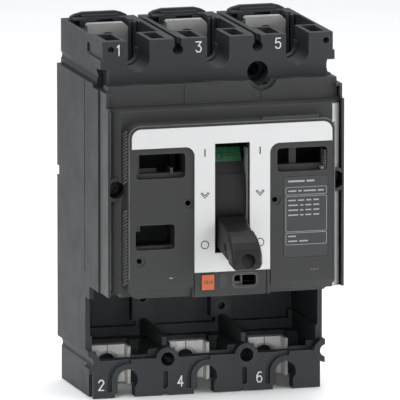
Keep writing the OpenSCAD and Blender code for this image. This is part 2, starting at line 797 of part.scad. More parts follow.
module slotted_screw(x, z, head_r, head_t, shank_r, d0, d1) {
    difference() {
        union() {
            rod_y(x, z, head_r, d1 - head_t, d1);
            rod_y(x, z, shank_r, d0, d1 - head_t + 0.1);
        }
        block(x - 0.4, x + 0.4, d1 - 0.8, d1 + cut, z - head_r, z + head_r);
        block(x - head_r, x + head_r, d1 - 0.8, d1 + cut, z - 0.4, z + 0.4);
    }
}

module cover_screws() {
    color([0.2, 0.2, 0.21])
    for (x = [-screw_x, screw_x])
        slotted_screw(x, screw_z, 2.7, 2, 1.6, seam_d - 0.5, cover_d - 6.5);
}

// Threaded sleeves in the posts of the lower bay
module post_inserts() {
    color([0.3, 0.3, 0.31])
    for (p = insert_places)
        difference() {
            rod_y(p[0], p[1], insert_r, bay_floor_d + 0.6, post_d + 0.3);
            rod_y(p[0], p[1], insert_hole_r, bay_floor_d + 1.6, post_d + cut);
        }
}

// Insulating flaps above the back wall, one for each pole
module insulating_flaps() {
    flap_half_w = 12.4;
    foot_t = 0.7;
    color([0.25, 0.26, 0.27])
    for (i = poles) {
        x = i * pole_pitch;
        union() {
            front_slab(1.4, 4)
                polygon([
                    [x - flap_half_w, half_h], [x - flap_half_w, half_h + 0.9],
                    [x - 10.4, half_h + 1.9], [x - 6.9, half_h + 2.7], [x + 7.5, half_h + 2.7],
                    [x + 10.6, half_h + 1.9], [x + flap_half_w, half_h + 1],
                    [x + flap_half_w, half_h]
                ]);
            block(x - 8, x + 8, 3.9, 6.4, half_h, half_h + 1.7);
            block(x - flap_half_w, x + flap_half_w, 1.4, 8, half_h, half_h + foot_t);
            block(x - flap_half_w, x - 7.6, 7.9, shelf_d, half_h, half_h + foot_t);
            block(x + 7.8, x + flap_half_w, 7.9, shelf_d, half_h, half_h + foot_t);
            block(x + 10, x + flap_half_w, shelf_d - 0.1, terminal_front_d - 3.2, half_h,
                half_h + foot_t);
        }
    }
}

// Line terminal: plated bar from the terminal down to the fixed contact
module line_terminal(x) {
    chamfer = 1.9;
    color([0.72, 0.71, 0.68])
    difference() {
        block(x - terminal_w / 2, x + terminal_w / 2, terminal_back_d, terminal_front_d, 36.5,
            terminal_top_z);
        rod_y(x, terminal_hole_z, terminal_hole_d / 2, terminal_back_d - cut,
            terminal_front_d + cut);
        front_slab(terminal_back_d - cut, terminal_front_d + cut)
            polygon([
                [x + terminal_w / 2 - chamfer, terminal_top_z + cut],
                [x + terminal_w / 2 - chamfer, terminal_top_z],
                [x + terminal_w / 2, terminal_top_z - chamfer],
                [x + terminal_w / 2 + cut, terminal_top_z - chamfer],
                [x + terminal_w / 2 + cut, terminal_top_z + cut]
            ]);
        front_slab(terminal_back_d - cut, terminal_front_d + cut)
            polygon([
                [x - terminal_w / 2 + 0.7, terminal_top_z + cut],
                [x - terminal_w / 2 + 0.7, terminal_top_z],
                [x - terminal_w / 2, terminal_top_z - 0.7],
                [x - terminal_w / 2 - cut, terminal_top_z - 0.7],
                [x - terminal_w / 2 - cut, terminal_top_z + cut]
            ]);
    }
}

// Load terminal: plate with a countersunk hole and a turned-forward side flange
module load_terminal(x) {
    flange_x = 8.4;
    left_x = -7.6;
    color([0.75, 0.74, 0.71])
    difference() {
        union() {
            block(x + left_x, x + flange_x, terminal_back_d, terminal_front_d, -77.6, load_top_z);
            block(x + flange_x - 1.4, x + flange_x, terminal_back_d, 24, -77.6, load_top_z);
        }
        rod_y(x - 0.4, load_hole_z, terminal_hole_d / 2, terminal_back_d - cut,
            terminal_front_d + cut);
        translate([x - 0.4, -terminal_front_d + 1.2, load_hole_z])
            rotate([90, 0, 0])
                cylinder(r1 = terminal_hole_d / 2, r2 = terminal_hole_d / 2 + 1.4, h = 1.3);
        block(x - 0.6, x - 0.3, terminal_front_d - 0.3, terminal_front_d + cut, -65,
            load_top_z + cut);
    }
}

// Load-side contact bar: from the fixed contact down into the lower bay
module load_contact_bar(x) {
    color([0.72, 0.45, 0.3])
    difference() {
        block(x - terminal_w / 2, x + terminal_w / 2, load_bar_back_d, load_bar_front_d, -35,
            -8.5);
        rod_y(x, -31.6, 2, load_bar_back_d - cut, load_bar_front_d + cut);
    }
}

module fixed_contact_tips() {
    color([0.78, 0.77, 0.74])
    for (i = poles) {
        x = i * pole_pitch;
        block(x - 4.5, x + 4.5, terminal_front_d, terminal_front_d + fixed_tip_t, 37, 42);
        block(x - 4.5, x + 4.5, load_bar_back_d - fixed_tip_t, load_bar_back_d, -14, -9);
    }
}

// Half of a pole's moulded cartridge; side is -1 for the left half, 1 for the right
module cartridge_half(x, side) {
    outer = side * cartridge_half_w;
    inner = side * (cartridge_half_w - shell_t);
    color([0.2, 0.2, 0.22])
    difference() {
        block(x + min(0, outer), x + max(0, outer), cartridge_back_d, cartridge_front_d,
            cartridge_bottom_z, cartridge_top_z);
        block(x + min(-side * cut, inner), x + max(-side * cut, inner), cartridge_back_d + shell_t,
            cartridge_front_d - shell_t, cartridge_bottom_z + shell_t,
            cartridge_top_z - shell_t);
        rod_x(rotor_d, rotor_z, rotor_r + rotor_clearance, x - 20, x + 20);
        block(x - terminal_w / 2 - bar_gap, x + terminal_w / 2 + bar_gap, terminal_back_d - bar_gap,
            terminal_front_d + bar_gap, cartridge_top_z - 3, cartridge_top_z + cut);
        block(x - terminal_w / 2 - bar_gap, x + terminal_w / 2 + bar_gap, load_bar_back_d - bar_gap,
            load_bar_front_d + bar_gap, cartridge_bottom_z - cut, cartridge_bottom_z + 3);
    }
}

// Rotor that carries a pole's moving contact, slotted for the contact bar
module rotor(x) {
    color([0.62, 0.55, 0.42])
    difference() {
        rod_x(rotor_d, rotor_z, rotor_r, x - cartridge_half_w, x + cartridge_half_w);
        at_rotor()
            block(x - contact_bar_half_w, x + contact_bar_half_w, -contact_bar_t / 2,
                contact_bar_t / 2, -rotor_r - cut, rotor_r + cut);
        at_rotor()
            for (s = [-1, 1])
                rotate([rod_angle * -1, 0, 0])
                    rod_x(0, s * rod_radius, rod_r, x - cartridge_half_w - cut,
                        x + cartridge_half_w + cut);
    }
}

module moving_contact(x) {
    color([0.72, 0.45, 0.3])
    at_rotor()
        block(x - contact_bar_half_w, x + contact_bar_half_w, -contact_bar_t / 2,
            contact_bar_t / 2, -contact_reach, contact_reach);
}

module moving_contact_tips() {
    color([0.78, 0.77, 0.74])
    at_rotor()
        for (i = poles) {
            x = i * pole_pitch;
            block(x - 4, x + 4, -contact_bar_t / 2 - tip_t, -contact_bar_t / 2, contact_reach - 4.4,
                contact_reach);
            block(x - 4, x + 4, contact_bar_t / 2, contact_bar_t / 2 + tip_t, -contact_reach,
                -contact_reach + 4.4);
        }
}

// Two rods that tie the three rotors together
module rotor_rods() {
    color([0.66, 0.67, 0.7])
    at_rotor()
        for (s = [-1, 1])
            rotate([rod_angle * -1, 0, 0])
                rod_x(0, s * rod_radius, rod_r, -rod_end_x, rod_end_x);
}

// Stack of splitter plates between two side boards
module arc_chute_shape(x) {
    depth_end = chute_start_d + (chute_plates - 1) * chute_pitch + chute_plate_t;
    for (k = [0 : chute_plates - 1]) {
        d = chute_start_d + k * chute_pitch;
        difference() {
            block(x - chute_half_w, x + chute_half_w, d, d + chute_plate_t, chute_bottom_z,
                chute_top_z);
            rod_y(x, chute_bottom_z, 3.5, d - cut, d + chute_plate_t + cut);
        }
    }
    for (s = [-1, 1])
        block(x + min(s * chute_half_w, s * (chute_half_w + chute_side_t)),
            x + max(s * chute_half_w, s * (chute_half_w + chute_side_t)), chute_start_d - 0.6,
            depth_end + 0.6, chute_bottom_z, chute_top_z);
}

module arc_chute_upper(x) {
    color([0.55, 0.56, 0.58])
        arc_chute_shape(x);
}

module arc_chute_lower(x) {
    color([0.55, 0.56, 0.58])
    translate([0, -rotor_d, rotor_z])
        rotate([180, 0, 0])
            translate([0, rotor_d, -rotor_z])
                arc_chute_shape(x);
}

// Side plate of the mechanism; side is -1 for the left plate, 1 for the right
module mechanism_plate(side) {
    x0 = min(side * plate_x, side * (plate_x + plate_t));
    color([0.7, 0.71, 0.73])
    difference() {
        side_slab(x0, x0 + plate_t)
            polygon([
                [43.4, -13.5], [70, -13.5], [71.5, -12], [71.5, 4], [66, 12],
                [71, 36], [71, 44.5], [69.5, 46], [43.4, 46]
            ]);
        rod_x(pivot_d, pivot_z, pivot_pin_r, x0 - cut, x0 + plate_t + cut);
        rod_x(cradle_d, cradle_z, rod_r, x0 - cut, x0 + plate_t + cut);
        rod_x(trip_bar_d, trip_bar_z + 4, trip_bar_r + pin_clearance, x0 - cut,
            x0 + plate_t + cut);
        for (p = spacer_places())
            rod_x(p[0], p[1], spacer_r, x0 - cut, x0 + plate_t + cut);
        side_slab(x0 - cut, x0 + plate_t + cut)
            translate([(knee_d * 2 - 3.2) / 2, (knee_z * 2 + 3.6) / 2])
                circle(r = 5.4);
    }
}

module mechanism_spacers() {
    color([0.66, 0.67, 0.7])
    for (p = spacer_places())
        rod_x(p[0], p[1], spacer_r, -well_half_w - 0.9, well_half_w + 0.9);
}

// Steel yoke that carries the handle and swings with it
module toggle_yoke() {
    color([0.72, 0.73, 0.76])
    at_handle()
        difference() {
            union() {
                for (s = [-1, 1])
                    side_slab(min(s * leg_x, s * (leg_x + leg_t)),
                        max(s * leg_x, s * (leg_x + leg_t))) {
                        circle(r = leg_half_w);
                        translate([0, -leg_half_w])
                            square([yoke_r, 2 * leg_half_w]);
                    }
                block(-leg_x - leg_t, leg_x + leg_t, yoke_r - yoke_t, yoke_r, -leg_half_w,
                    leg_half_w);
            }
            rod_x(0, 0, pivot_pin_r + pin_clearance, -leg_x - 4, leg_x + 4);
            block(-stem_half_w, stem_half_w, yoke_r - 4, yoke_r + cut, -stem_half_t, stem_half_t);
        }
}

module yoke_pivot_pins() {
    color([0.6, 0.61, 0.63])
    for (s = [-1, 1])
        rod_x(pivot_d, pivot_z, pivot_pin_r, min(s * 9.8, s * 16.3), max(s * 9.8, s * 16.3));
}

// Cradle, held by the latch
module cradle() {
    color([0.7, 0.71, 0.73])
    difference() {
        union() {
            rod_x(cradle_d, cradle_z, 4.5, -3, 3);
            side_slab(-3, 3)
                polygon([
                    [54.5, 28.5], [59.8, 31], [68, 22], [70, 8], [70.5, -2.5], [67.5, -2.5],
                    [65.5, 8], [62.5, 19]
                ]);
        }
        rod_x(cradle_d, cradle_z, rod_r, -4, 4);
    }
}

module cradle_pin() {
    color([0.6, 0.61, 0.63])
        rod_x(cradle_d, cradle_z, rod_r, -16.2, 16.2);
}

// Latch that turns on the lower front spacer and holds the cradle's tip
module latch() {
    color([0.64, 0.65, 0.67])
    difference() {
        union() {
            rod_x(68, -10, 3.6, -3.4, 3.4);
            block(-3.4, 3.4, 66.4, 71.4, -7.4, -3.1);
        }
        rod_x(68, -10, spacer_r, -5, 5);
    }
}

module upper_links() {
    color([0.68, 0.69, 0.71])
    for (s = [-1, 1])
        difference() {
            side_slab(min(s * upper_link_x, s * (upper_link_x + upper_link_t)),
                max(s * upper_link_x, s * (upper_link_x + upper_link_t)))
                link_outline(cradle_d, cradle_z, knee_d, knee_z, link_half_w + 0.3);
            rod_x(cradle_d, cradle_z, rod_r + pin_clearance, -15, 15);
            rod_x(knee_d, knee_z, rod_r + knee_clearance, -15, 15);
        }
}

module drive_links() {
    color([0.68, 0.69, 0.71])
    for (s = [-1, 1])
        difference() {
            side_slab(min(s * drive_link_x, s * (drive_link_x + drive_link_t)),
                max(s * drive_link_x, s * (drive_link_x + drive_link_t)))
                link_outline(crank_d, crank_z, knee_d, knee_z, link_half_w);
            rod_x(crank_d, crank_z, rod_r + pin_clearance, -20, 20);
            rod_x(knee_d, knee_z, rod_r, -20, 20);
        }
}

module knee_pins() {
    color([0.6, 0.61, 0.63])
    for (s = [-1, 1])
        rod_x(knee_d, knee_z, rod_r, min(s * 12, s * 18.6), max(s * 12, s * 18.6));
}

// Pair of springs inside the yoke, each drawn as a ribbed sleeve
module main_springs() {
    coils = 11;
    coil_pitch = 2.3;
    start = 5;
    wire_r = 2.4;
    root_r = 1.7;
    profile = [
        for (k = [0 : coils - 1])
            for (p = [[root_r, 0], [wire_r, 0.5], [wire_r, 1.3], [root_r, 1.8]])
                [p[0], start + k * coil_pitch + p[1]]
    ];
    last = start + (coils - 1) * coil_pitch + 1.8;
    color([0.5, 0.51, 0.53])
    at_handle()
        for (x = [-7, 7])
            translate([x, 0, 0])
                rotate([90, 0, 0])
                    rotate_extrude()
                        polygon(concat([[0.9, start]], profile, [[0.9, last]]));
}

// Handle grip with its stem; the grip is drawn where it rests
module rounded_hull(rows, edge_r) {
    hull()
        for (p = rows)
            for (s = [-1, 1])
                translate([s * (p[2] - edge_r), -p[0], p[1]])
                    sphere(r = edge_r, $fn = hull_fn);
}

// Grip: a stem and a rounded end that stands a little proud of it
module grip_body() {
    // Each row is a depth, a height and a half width
    rounded_hull([
        [86.6, 3.2, 6.4], [100.8, -1.2, 5.9], [101, -10.4, 6], [93, -8.4, 6.4],
        [87, -6.8, 6.8]
    ], 1.3);
    rounded_hull([
        [101, -0.45, 6.05], [104.4, -2.1, 6.35], [107.3, -4, 6.5], [109.6, -6.2, 6.6],
        [111.1, -8.7, 6.65], [111.8, -11, 6.5], [111, -12.5, 6.1], [109, -13.2, 5.3],
        [104, -11.8, 6], [100.6, -5, 6]
    ], 1.3);
}

module toggle_handle() {
    color([0.21, 0.21, 0.22])
    difference() {
        union() {
            grip_body();
            at_handle()
                block(-stem_half_w, stem_half_w, 31.2, 41.5, -stem_half_t, stem_half_t);
        }
        // Round recess in the tip, running out at its lower edge
        translate([0.2, -110.5, -10.8])
            rotate([68, 0, 0])
                cylinder(r = 3, h = 8);
        // Small recess in the left side
        side_slab(-9, -5.6)
            polygon([[97.5, -4.6], [103, -6.6], [98.5, -7.8]]);
    }
}

// Curved shroud that closes the slot; it steps back towards its top
module handle_shroud() {
    inner_r = shroud_r - 1.7;
    color([0.24, 0.24, 0.25])
    difference() {
        union() {
            ring_sector(inner_r, shroud_r, -80, 14, -7.1, 7.1);
            ring_sector(inner_r - 1.1, shroud_r - 1.1, 13.5, 22.6, -7.1, 7.1);
            ring_sector(inner_r - 2, shroud_r - 2, 22, 39, -7.1, 7.1);
        }
        at_handle()
            block(-stem_half_w, stem_half_w, 30, 45, -stem_half_t, stem_half_t);
    }
}

module off_indicator() {
    color([0.16, 0.42, 0.22])
        ring_sector(shroud_r - 2, shroud_r - 1.6, 22.7, 33, -6.9, 6.3);
}

// Trip button with its plunger
module trip_button() {
    color([0.82, 0.42, 0.25])
    union() {
        block(button_x0, button_x1, raised_d - 8, raised_d + 0.6, button_z0, button_z1);
        block(button_x0 - 1, button_x1, raised_d - 9.8, raised_d - 7.3, button_z0, button_z1 + 1);
        rod_y(button_x, button_z, plunger_r, trip_bar_d + 1.8, raised_d - 9);
    }
}

module trip_button_spring() {
    color([0.5, 0.51, 0.53])
    difference() {
        rod_y(button_x, button_z, spring_r, seam_d + 1, raised_d - 10 - button_travel);
        rod_y(button_x, button_z, spring_hole_r, seam_d, raised_d - 9);
    }
}

// Trip bar with the arm that the button's plunger pushes
module trip_bar() {
    color([0.24, 0.24, 0.26])
    union() {
        rod_x(trip_bar_d, trip_bar_z + 4, trip_bar_r, -18.6, 18.6);
        block(button_x - 1.6, button_x + 1.6, trip_bar_d - 1.4, trip_bar_d + 1.4, -24.4,
            trip_bar_z + 4);
    }
}

base_case();
mid_case();
front_cover();
faceplate();
rating_label();
cover_screws();
post_inserts();
insulating_flaps();
line_terminal(-pole_pitch);  // line_terminal_1
line_terminal(0);  // line_terminal_3
line_terminal(pole_pitch);  // line_terminal_5
load_terminal(-pole_pitch);  // load_terminal_2
load_terminal(0);  // load_terminal_4
load_terminal(pole_pitch);  // load_terminal_6
load_contact_bar(-pole_pitch);  // load_contact_bar_2
load_contact_bar(0);  // load_contact_bar_4
load_contact_bar(pole_pitch);  // load_contact_bar_6
fixed_contact_tips();
cartridge_half(-pole_pitch, -1);  // cartridge_left_1
cartridge_half(-pole_pitch, 1);  // cartridge_right_1
cartridge_half(0, -1);  // cartridge_left_2
cartridge_half(0, 1);  // cartridge_right_2
cartridge_half(pole_pitch, -1);  // cartridge_left_3
cartridge_half(pole_pitch, 1);  // cartridge_right_3
rotor(-pole_pitch);  // rotor_1
rotor(0);  // rotor_2
rotor(pole_pitch);  // rotor_3
moving_contact(-pole_pitch);  // moving_contact_1
moving_contact(0);  // moving_contact_2
moving_contact(pole_pitch);  // moving_contact_3
moving_contact_tips();
rotor_rods();
arc_chute_upper(-pole_pitch);  // arc_chute_upper_1
arc_chute_upper(0);  // arc_chute_upper_2
arc_chute_upper(pole_pitch);  // arc_chute_upper_3
arc_chute_lower(-pole_pitch);  // arc_chute_lower_1
arc_chute_lower(0);  // arc_chute_lower_2
arc_chute_lower(pole_pitch);  // arc_chute_lower_3
mechanism_plate(-1);  // mechanism_plate_left
mechanism_plate(1);  // mechanism_plate_right
mechanism_spacers();
toggle_yoke();
yoke_pivot_pins();
cradle();
cradle_pin();
latch();
upper_links();
drive_links();
knee_pins();
main_springs();
toggle_handle();
handle_shroud();
off_indicator();
trip_button();
trip_button_spring();
trip_bar();
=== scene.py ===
import json
import math
import bmesh
import bpy
from mathutils import Matrix, Vector


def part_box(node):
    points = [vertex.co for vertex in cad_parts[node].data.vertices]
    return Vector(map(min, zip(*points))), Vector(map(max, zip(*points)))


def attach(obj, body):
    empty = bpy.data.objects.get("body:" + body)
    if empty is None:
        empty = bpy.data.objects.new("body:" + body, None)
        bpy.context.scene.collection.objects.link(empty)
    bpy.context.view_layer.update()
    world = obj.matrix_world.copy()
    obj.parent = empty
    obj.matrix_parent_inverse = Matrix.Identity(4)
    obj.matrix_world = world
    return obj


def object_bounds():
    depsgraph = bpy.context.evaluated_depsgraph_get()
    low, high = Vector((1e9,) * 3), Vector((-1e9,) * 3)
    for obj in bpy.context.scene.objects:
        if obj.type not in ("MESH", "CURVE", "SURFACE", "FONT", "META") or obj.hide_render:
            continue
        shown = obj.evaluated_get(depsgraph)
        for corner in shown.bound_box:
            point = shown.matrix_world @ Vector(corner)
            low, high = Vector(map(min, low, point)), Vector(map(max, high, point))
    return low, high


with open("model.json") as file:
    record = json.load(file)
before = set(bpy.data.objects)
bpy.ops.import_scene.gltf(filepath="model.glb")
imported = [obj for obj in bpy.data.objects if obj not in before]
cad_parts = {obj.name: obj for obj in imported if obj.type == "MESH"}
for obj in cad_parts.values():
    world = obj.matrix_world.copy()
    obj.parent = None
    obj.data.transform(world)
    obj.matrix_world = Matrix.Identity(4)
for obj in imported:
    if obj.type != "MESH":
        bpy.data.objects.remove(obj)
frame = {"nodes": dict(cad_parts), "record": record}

# Looks of a three-pole moulded-case circuit breaker frame. The frame's origin is the middle of the back
# face, +X is right, +Z is up and the front faces -Y. Sizes are millimetres unless a comment says metres,
# and a depth is the distance in front of the back face, which is -Y.
CAD_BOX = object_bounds()
MM = 0.001
NODES = frame["nodes"]
POLES = (-35.0, 0.0, 35.0)


def mm_box(node):
    """Node's limits as x0, x1, depth0, depth1, z0, z1 in millimetres."""
    lo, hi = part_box(node)
    return lo.x * 1e3, hi.x * 1e3, -hi.y * 1e3, -lo.y * 1e3, lo.z * 1e3, hi.z * 1e3


# ---------------------------------------------------------------- camera
# A very long lens far away, a little to the left of the breaker and above it
AIM = Vector((-1.74, -45.0, 4.6)) * MM
AZIMUTH = math.radians(-15.9)
ELEVATION = math.radians(10.1)
DISTANCE_M = 4.728
LENS = 1000.0
SENSOR = 36.0
CLIP_START_M = 0.1
CLIP_END_M = 20.0

toward_camera = Vector((math.sin(AZIMUTH) * math.cos(ELEVATION),
                        -math.cos(AZIMUTH) * math.cos(ELEVATION),
                        math.sin(ELEVATION)))
camera = bpy.data.objects.new("camera", bpy.data.cameras.new("camera"))
bpy.context.scene.collection.objects.link(camera)
camera.data.lens = LENS
camera.data.sensor_width = SENSOR
camera.data.clip_start = CLIP_START_M
camera.data.clip_end = CLIP_END_M
camera.location = AIM + toward_camera * DISTANCE_M
camera.rotation_mode = "QUATERNION"
camera.rotation_quaternion = (-toward_camera).to_track_quat("-Z", "Y")
bpy.context.scene.camera = camera


# ---------------------------------------------------------------- light
def area(name, place, size, power, aim=AIM):
    """Round area light turned to a point; place, size and aim in metres, power in watts."""
    light = bpy.data.lights.new(name, "AREA")
    light.shape = "DISK"
    light.size = size
    light.energy = power
    obj = bpy.data.objects.new(name, light)
    obj.location = Vector(place)
    obj.rotation_mode = "QUATERNION"
    obj.rotation_quaternion = (obj.location - aim).to_track_quat("Z", "Y")
    bpy.context.scene.collection.objects.link(obj)
    return light


area("key_top_left", (-0.55, -0.85, 1.2), size=0.7, power=9.0)
area("fill_right", (0.9, -1.2, 0.45), size=0.8, power=5.0)
area("side_left", (-1.25, -0.1, 0.3), size=0.6, power=1.8)
area("edge_right", (0.46, -0.06, 0.0), size=0.22, power=2.0, aim=Vector((0.05, -0.07, 0.0)))
area("front_right", (0.42, -0.34, 0.1), size=0.24, power=0.75, aim=Vector((0.04, -0.06, 0.05)))
area("top_soft", (0.05, 0.35, 1.3), size=0.9, power=12.0)

# Narrow, weak front fill that reaches the load terminals through the arches
low_fill = area("low_fill", (-0.21, -0.7, 0.03), size=0.1, power=0.008, aim=Vector((0.0, -0.02, -0.072)))
low_fill.spread = math.radians(9)

SKY_COLOUR = (0.95, 0.97, 1.0, 1)
SKY_STRENGTH = 0.55
world = bpy.data.worlds.new("studio")
bpy.context.scene.world = world
world.use_nodes = True
sky = world.node_tree.nodes["Background"]
sky.inputs["Color"].default_value = SKY_COLOUR
sky.inputs["Strength"].default_value = SKY_STRENGTH
bpy.context.scene.view_settings.view_transform = "Standard"
bpy.context.scene.view_settings.look = "None"
bpy.context.scene.view_settings.exposure = 0.0


# ---------------------------------------------------------------- material tools
class Mat:
    """Small helper round a Principled material's node tree."""

    def __init__(self, name):
        self.mat = bpy.data.materials.new(name)
        self.mat.use_nodes = True
        self.tree = self.mat.node_tree
        self.surface = self.tree.nodes["Principled BSDF"]
        self.place = self.tree.nodes.new("ShaderNodeTexCoord").outputs["Object"]

    def node(self, kind):
        return self.tree.nodes.new(kind)

    def link(self, out, socket):
        self.tree.links.new(out, socket)

    def noise(self, scale, detail=3.0, rough=0.55, stretch=None):
        """Cloudy pattern, drawn out along an axis where stretch is given."""
        place = self.place
        if stretch:
            mapping = self.node("ShaderNodeMapping")
            mapping.inputs["Scale"].default_value = stretch
            self.link(place, mapping.inputs["Vector"])
            place = mapping.outputs["Vector"]
        noise = self.node("ShaderNodeTexNoise")
        noise.inputs["Scale"].default_value = scale
        noise.inputs["Detail"].default_value = detail
        noise.inputs["Roughness"].default_value = rough
        self.link(place, noise.inputs["Vector"])
        return noise.outputs["Fac"]

    def cells(self, scale):
        """Pattern of small pits."""
        cells = self.node("ShaderNodeTexVoronoi")
        cells.inputs["Scale"].default_value = scale
        self.link(self.place, cells.inputs["Vector"])
        return cells.outputs["Distance"]

    def span(self, value, low, high, start=0.3, end=0.7):
        """Value between start and end, spread from low to high."""
        spread = self.node("ShaderNodeMapRange")
        spread.inputs["From Min"].default_value = start
        spread.inputs["From Max"].default_value = end
        spread.inputs["To Min"].default_value = low
        spread.inputs["To Max"].default_value = high
        self.link(value, spread.inputs["Value"])
        return spread.outputs["Result"]

    def times(self, a, b):
        """Product of two values."""
        product = self.node("ShaderNodeMath")
        product.operation = "MULTIPLY"
        self.link(a, product.inputs[0])
        self.link(b, product.inputs[1])
        return product.outputs[0]

    def ramp(self, value, first, last):
        """Colour that goes from one (position, colour) stop to another."""
        ramp = self.node("ShaderNodeValToRGB")
        for stop, (position, colour) in zip(ramp.color_ramp.elements, (first, last)):
            stop.position = position
            stop.color = (*colour, 1)
        self.link(value, ramp.inputs["Fac"])
        return ramp.outputs["Color"]

    def mix(self, share, under, over):
        """Colour under, with a share of the plain colour over."""
        mix = self.node("ShaderNodeMix")
        mix.data_type = "RGBA"
        sockets = {(socket.name, socket.type): socket for socket in mix.inputs}
        self.link(share, sockets["Factor", "VALUE"])
        self.link(under, sockets["A", "RGBA"])
        sockets["B", "RGBA"].default_value = (*over, 1)
        return next(out for out in mix.outputs if out.type == "RGBA")

    def edges(self, radius=0.0006):
        """1 along convex and concave edges, 0 on flat faces; the radius is in metres."""
        rounded = self.node("ShaderNodeBevel")
        rounded.samples = 4
        rounded.inputs["Radius"].default_value = radius
        flat = self.node("ShaderNodeNewGeometry")
        likeness = self.node("ShaderNodeVectorMath")
        likeness.operation = "DOT_PRODUCT"
        self.link(rounded.outputs["Normal"], likeness.inputs[0])
        self.link(flat.outputs["Normal"], likeness.inputs[1])
        return self.span(likeness.outputs["Value"], 1.0, 0.0, start=0.78, end=0.995)

    def bump(self, height, strength, distance, under=None):
        """Surface relief; the distance is in metres."""
        bump = self.node("ShaderNodeBump")
        bump.inputs["Strength"].default_value = strength
        bump.inputs["Distance"].default_value = distance
        self.link(height, bump.inputs["Height"])
        if under is not None:
            self.link(under, bump.inputs["Normal"])
        return bump.outputs["Normal"]

    def finish(self, colour, roughness, normal):
        """Connect the surface and give back the material."""
        self.link(colour, self.surface.inputs["Base Color"])
        self.link(roughness, self.surface.inputs["Roughness"])
        self.link(normal, self.surface.inputs["Normal"])
        return self.mat


def scaled(rgb, factor):
    """Lighter or darker colour, limited to white."""
    return tuple(min(1.0, value * factor) for value in rgb)


def plastic(name, rgb, rough=0.5, grain=5200.0, edge_highlight_share=0.35, depth=0.00003, spec=0.45, flow=0.08):
    """Moulded thermoset or thermoplastic: spark-eroded grain, faint flow clouding, and edges lightened in
    patches as painted highlights.
    """
    m = Mat(name)
    cloud = m.noise(26.0, detail=4.0, rough=0.6)
    colour = m.ramp(cloud, (0.25, scaled(rgb, 1 - flow)), (0.75, scaled(rgb, 1 + flow)))
    speck = m.noise(1900.0, detail=2.0, rough=0.5)
    colour = m.mix(m.span(speck, 0.0, 0.22, start=0.5, end=0.75), colour, scaled(rgb, 1.5))
    # Painted highlight: edges, convex and concave, are lightened towards 3.4 times the base colour in noise
    # patches, standing in for the light that edges catch
    if edge_highlight_share:
        patches = m.span(m.noise(160.0), 0.15 * edge_highlight_share, edge_highlight_share, start=0.35, end=0.65)
        colour = m.mix(m.times(m.edges(), patches), colour, scaled(rgb, 3.4))
    sheen = m.span(m.noise(90.0, detail=5.0, rough=0.65), rough - 0.04, rough + 0.05)
    coarse = m.bump(cloud, strength=0.15, distance=0.00007)
    fine = m.bump(m.noise(grain, detail=2.0, rough=0.6), strength=0.5, distance=depth, under=coarse)
    m.surface.inputs["Specular IOR Level"].default_value = spec
    return m.finish(colour, sheen, fine)


def film(name, rgb, rough, grain=3600.0, spec=0.4, flow=0.03):
    """Smooth moulding or printed film: almost no grain and no painted edge highlights."""
    return plastic(name, rgb, rough, grain, edge_highlight_share=0.0, depth=0.00001, spec=spec, flow=flow)


def metal(name, rgb, rough, brush, tint=None, stain=0.2, streak=0.25, metallic=1.0):
    """Plated or bare metal: drawn lines, soft stains, small pits."""
    m = Mat(name)
    stains = m.noise(70.0, detail=5.0, rough=0.6)
    colour = m.ramp(stains, (0.3, scaled(rgb, 1 - stain)), (0.7, scaled(rgb, 1.08)))
    if tint:
        patches = m.span(m.noise(38.0, detail=4.0), 0.0, 0.5, start=0.45, end=0.72)
        colour = m.mix(patches, colour, tint)
    lines = m.noise(140.0, detail=4.0, rough=0.7, stretch=brush)
    colour = m.mix(m.span(lines, 0.0, streak, start=0.45, end=0.75), colour, scaled(rgb, 0.6))
    sheen = m.span(lines, rough - 0.08, rough + 0.14)
    pits = m.bump(m.cells(2600.0), strength=0.15, distance=0.00002)
    drawn = m.bump(lines, strength=0.35, distance=0.00002, under=pits)
    m.surface.inputs["Metallic"].default_value = metallic
    return m.finish(colour, sheen, drawn)


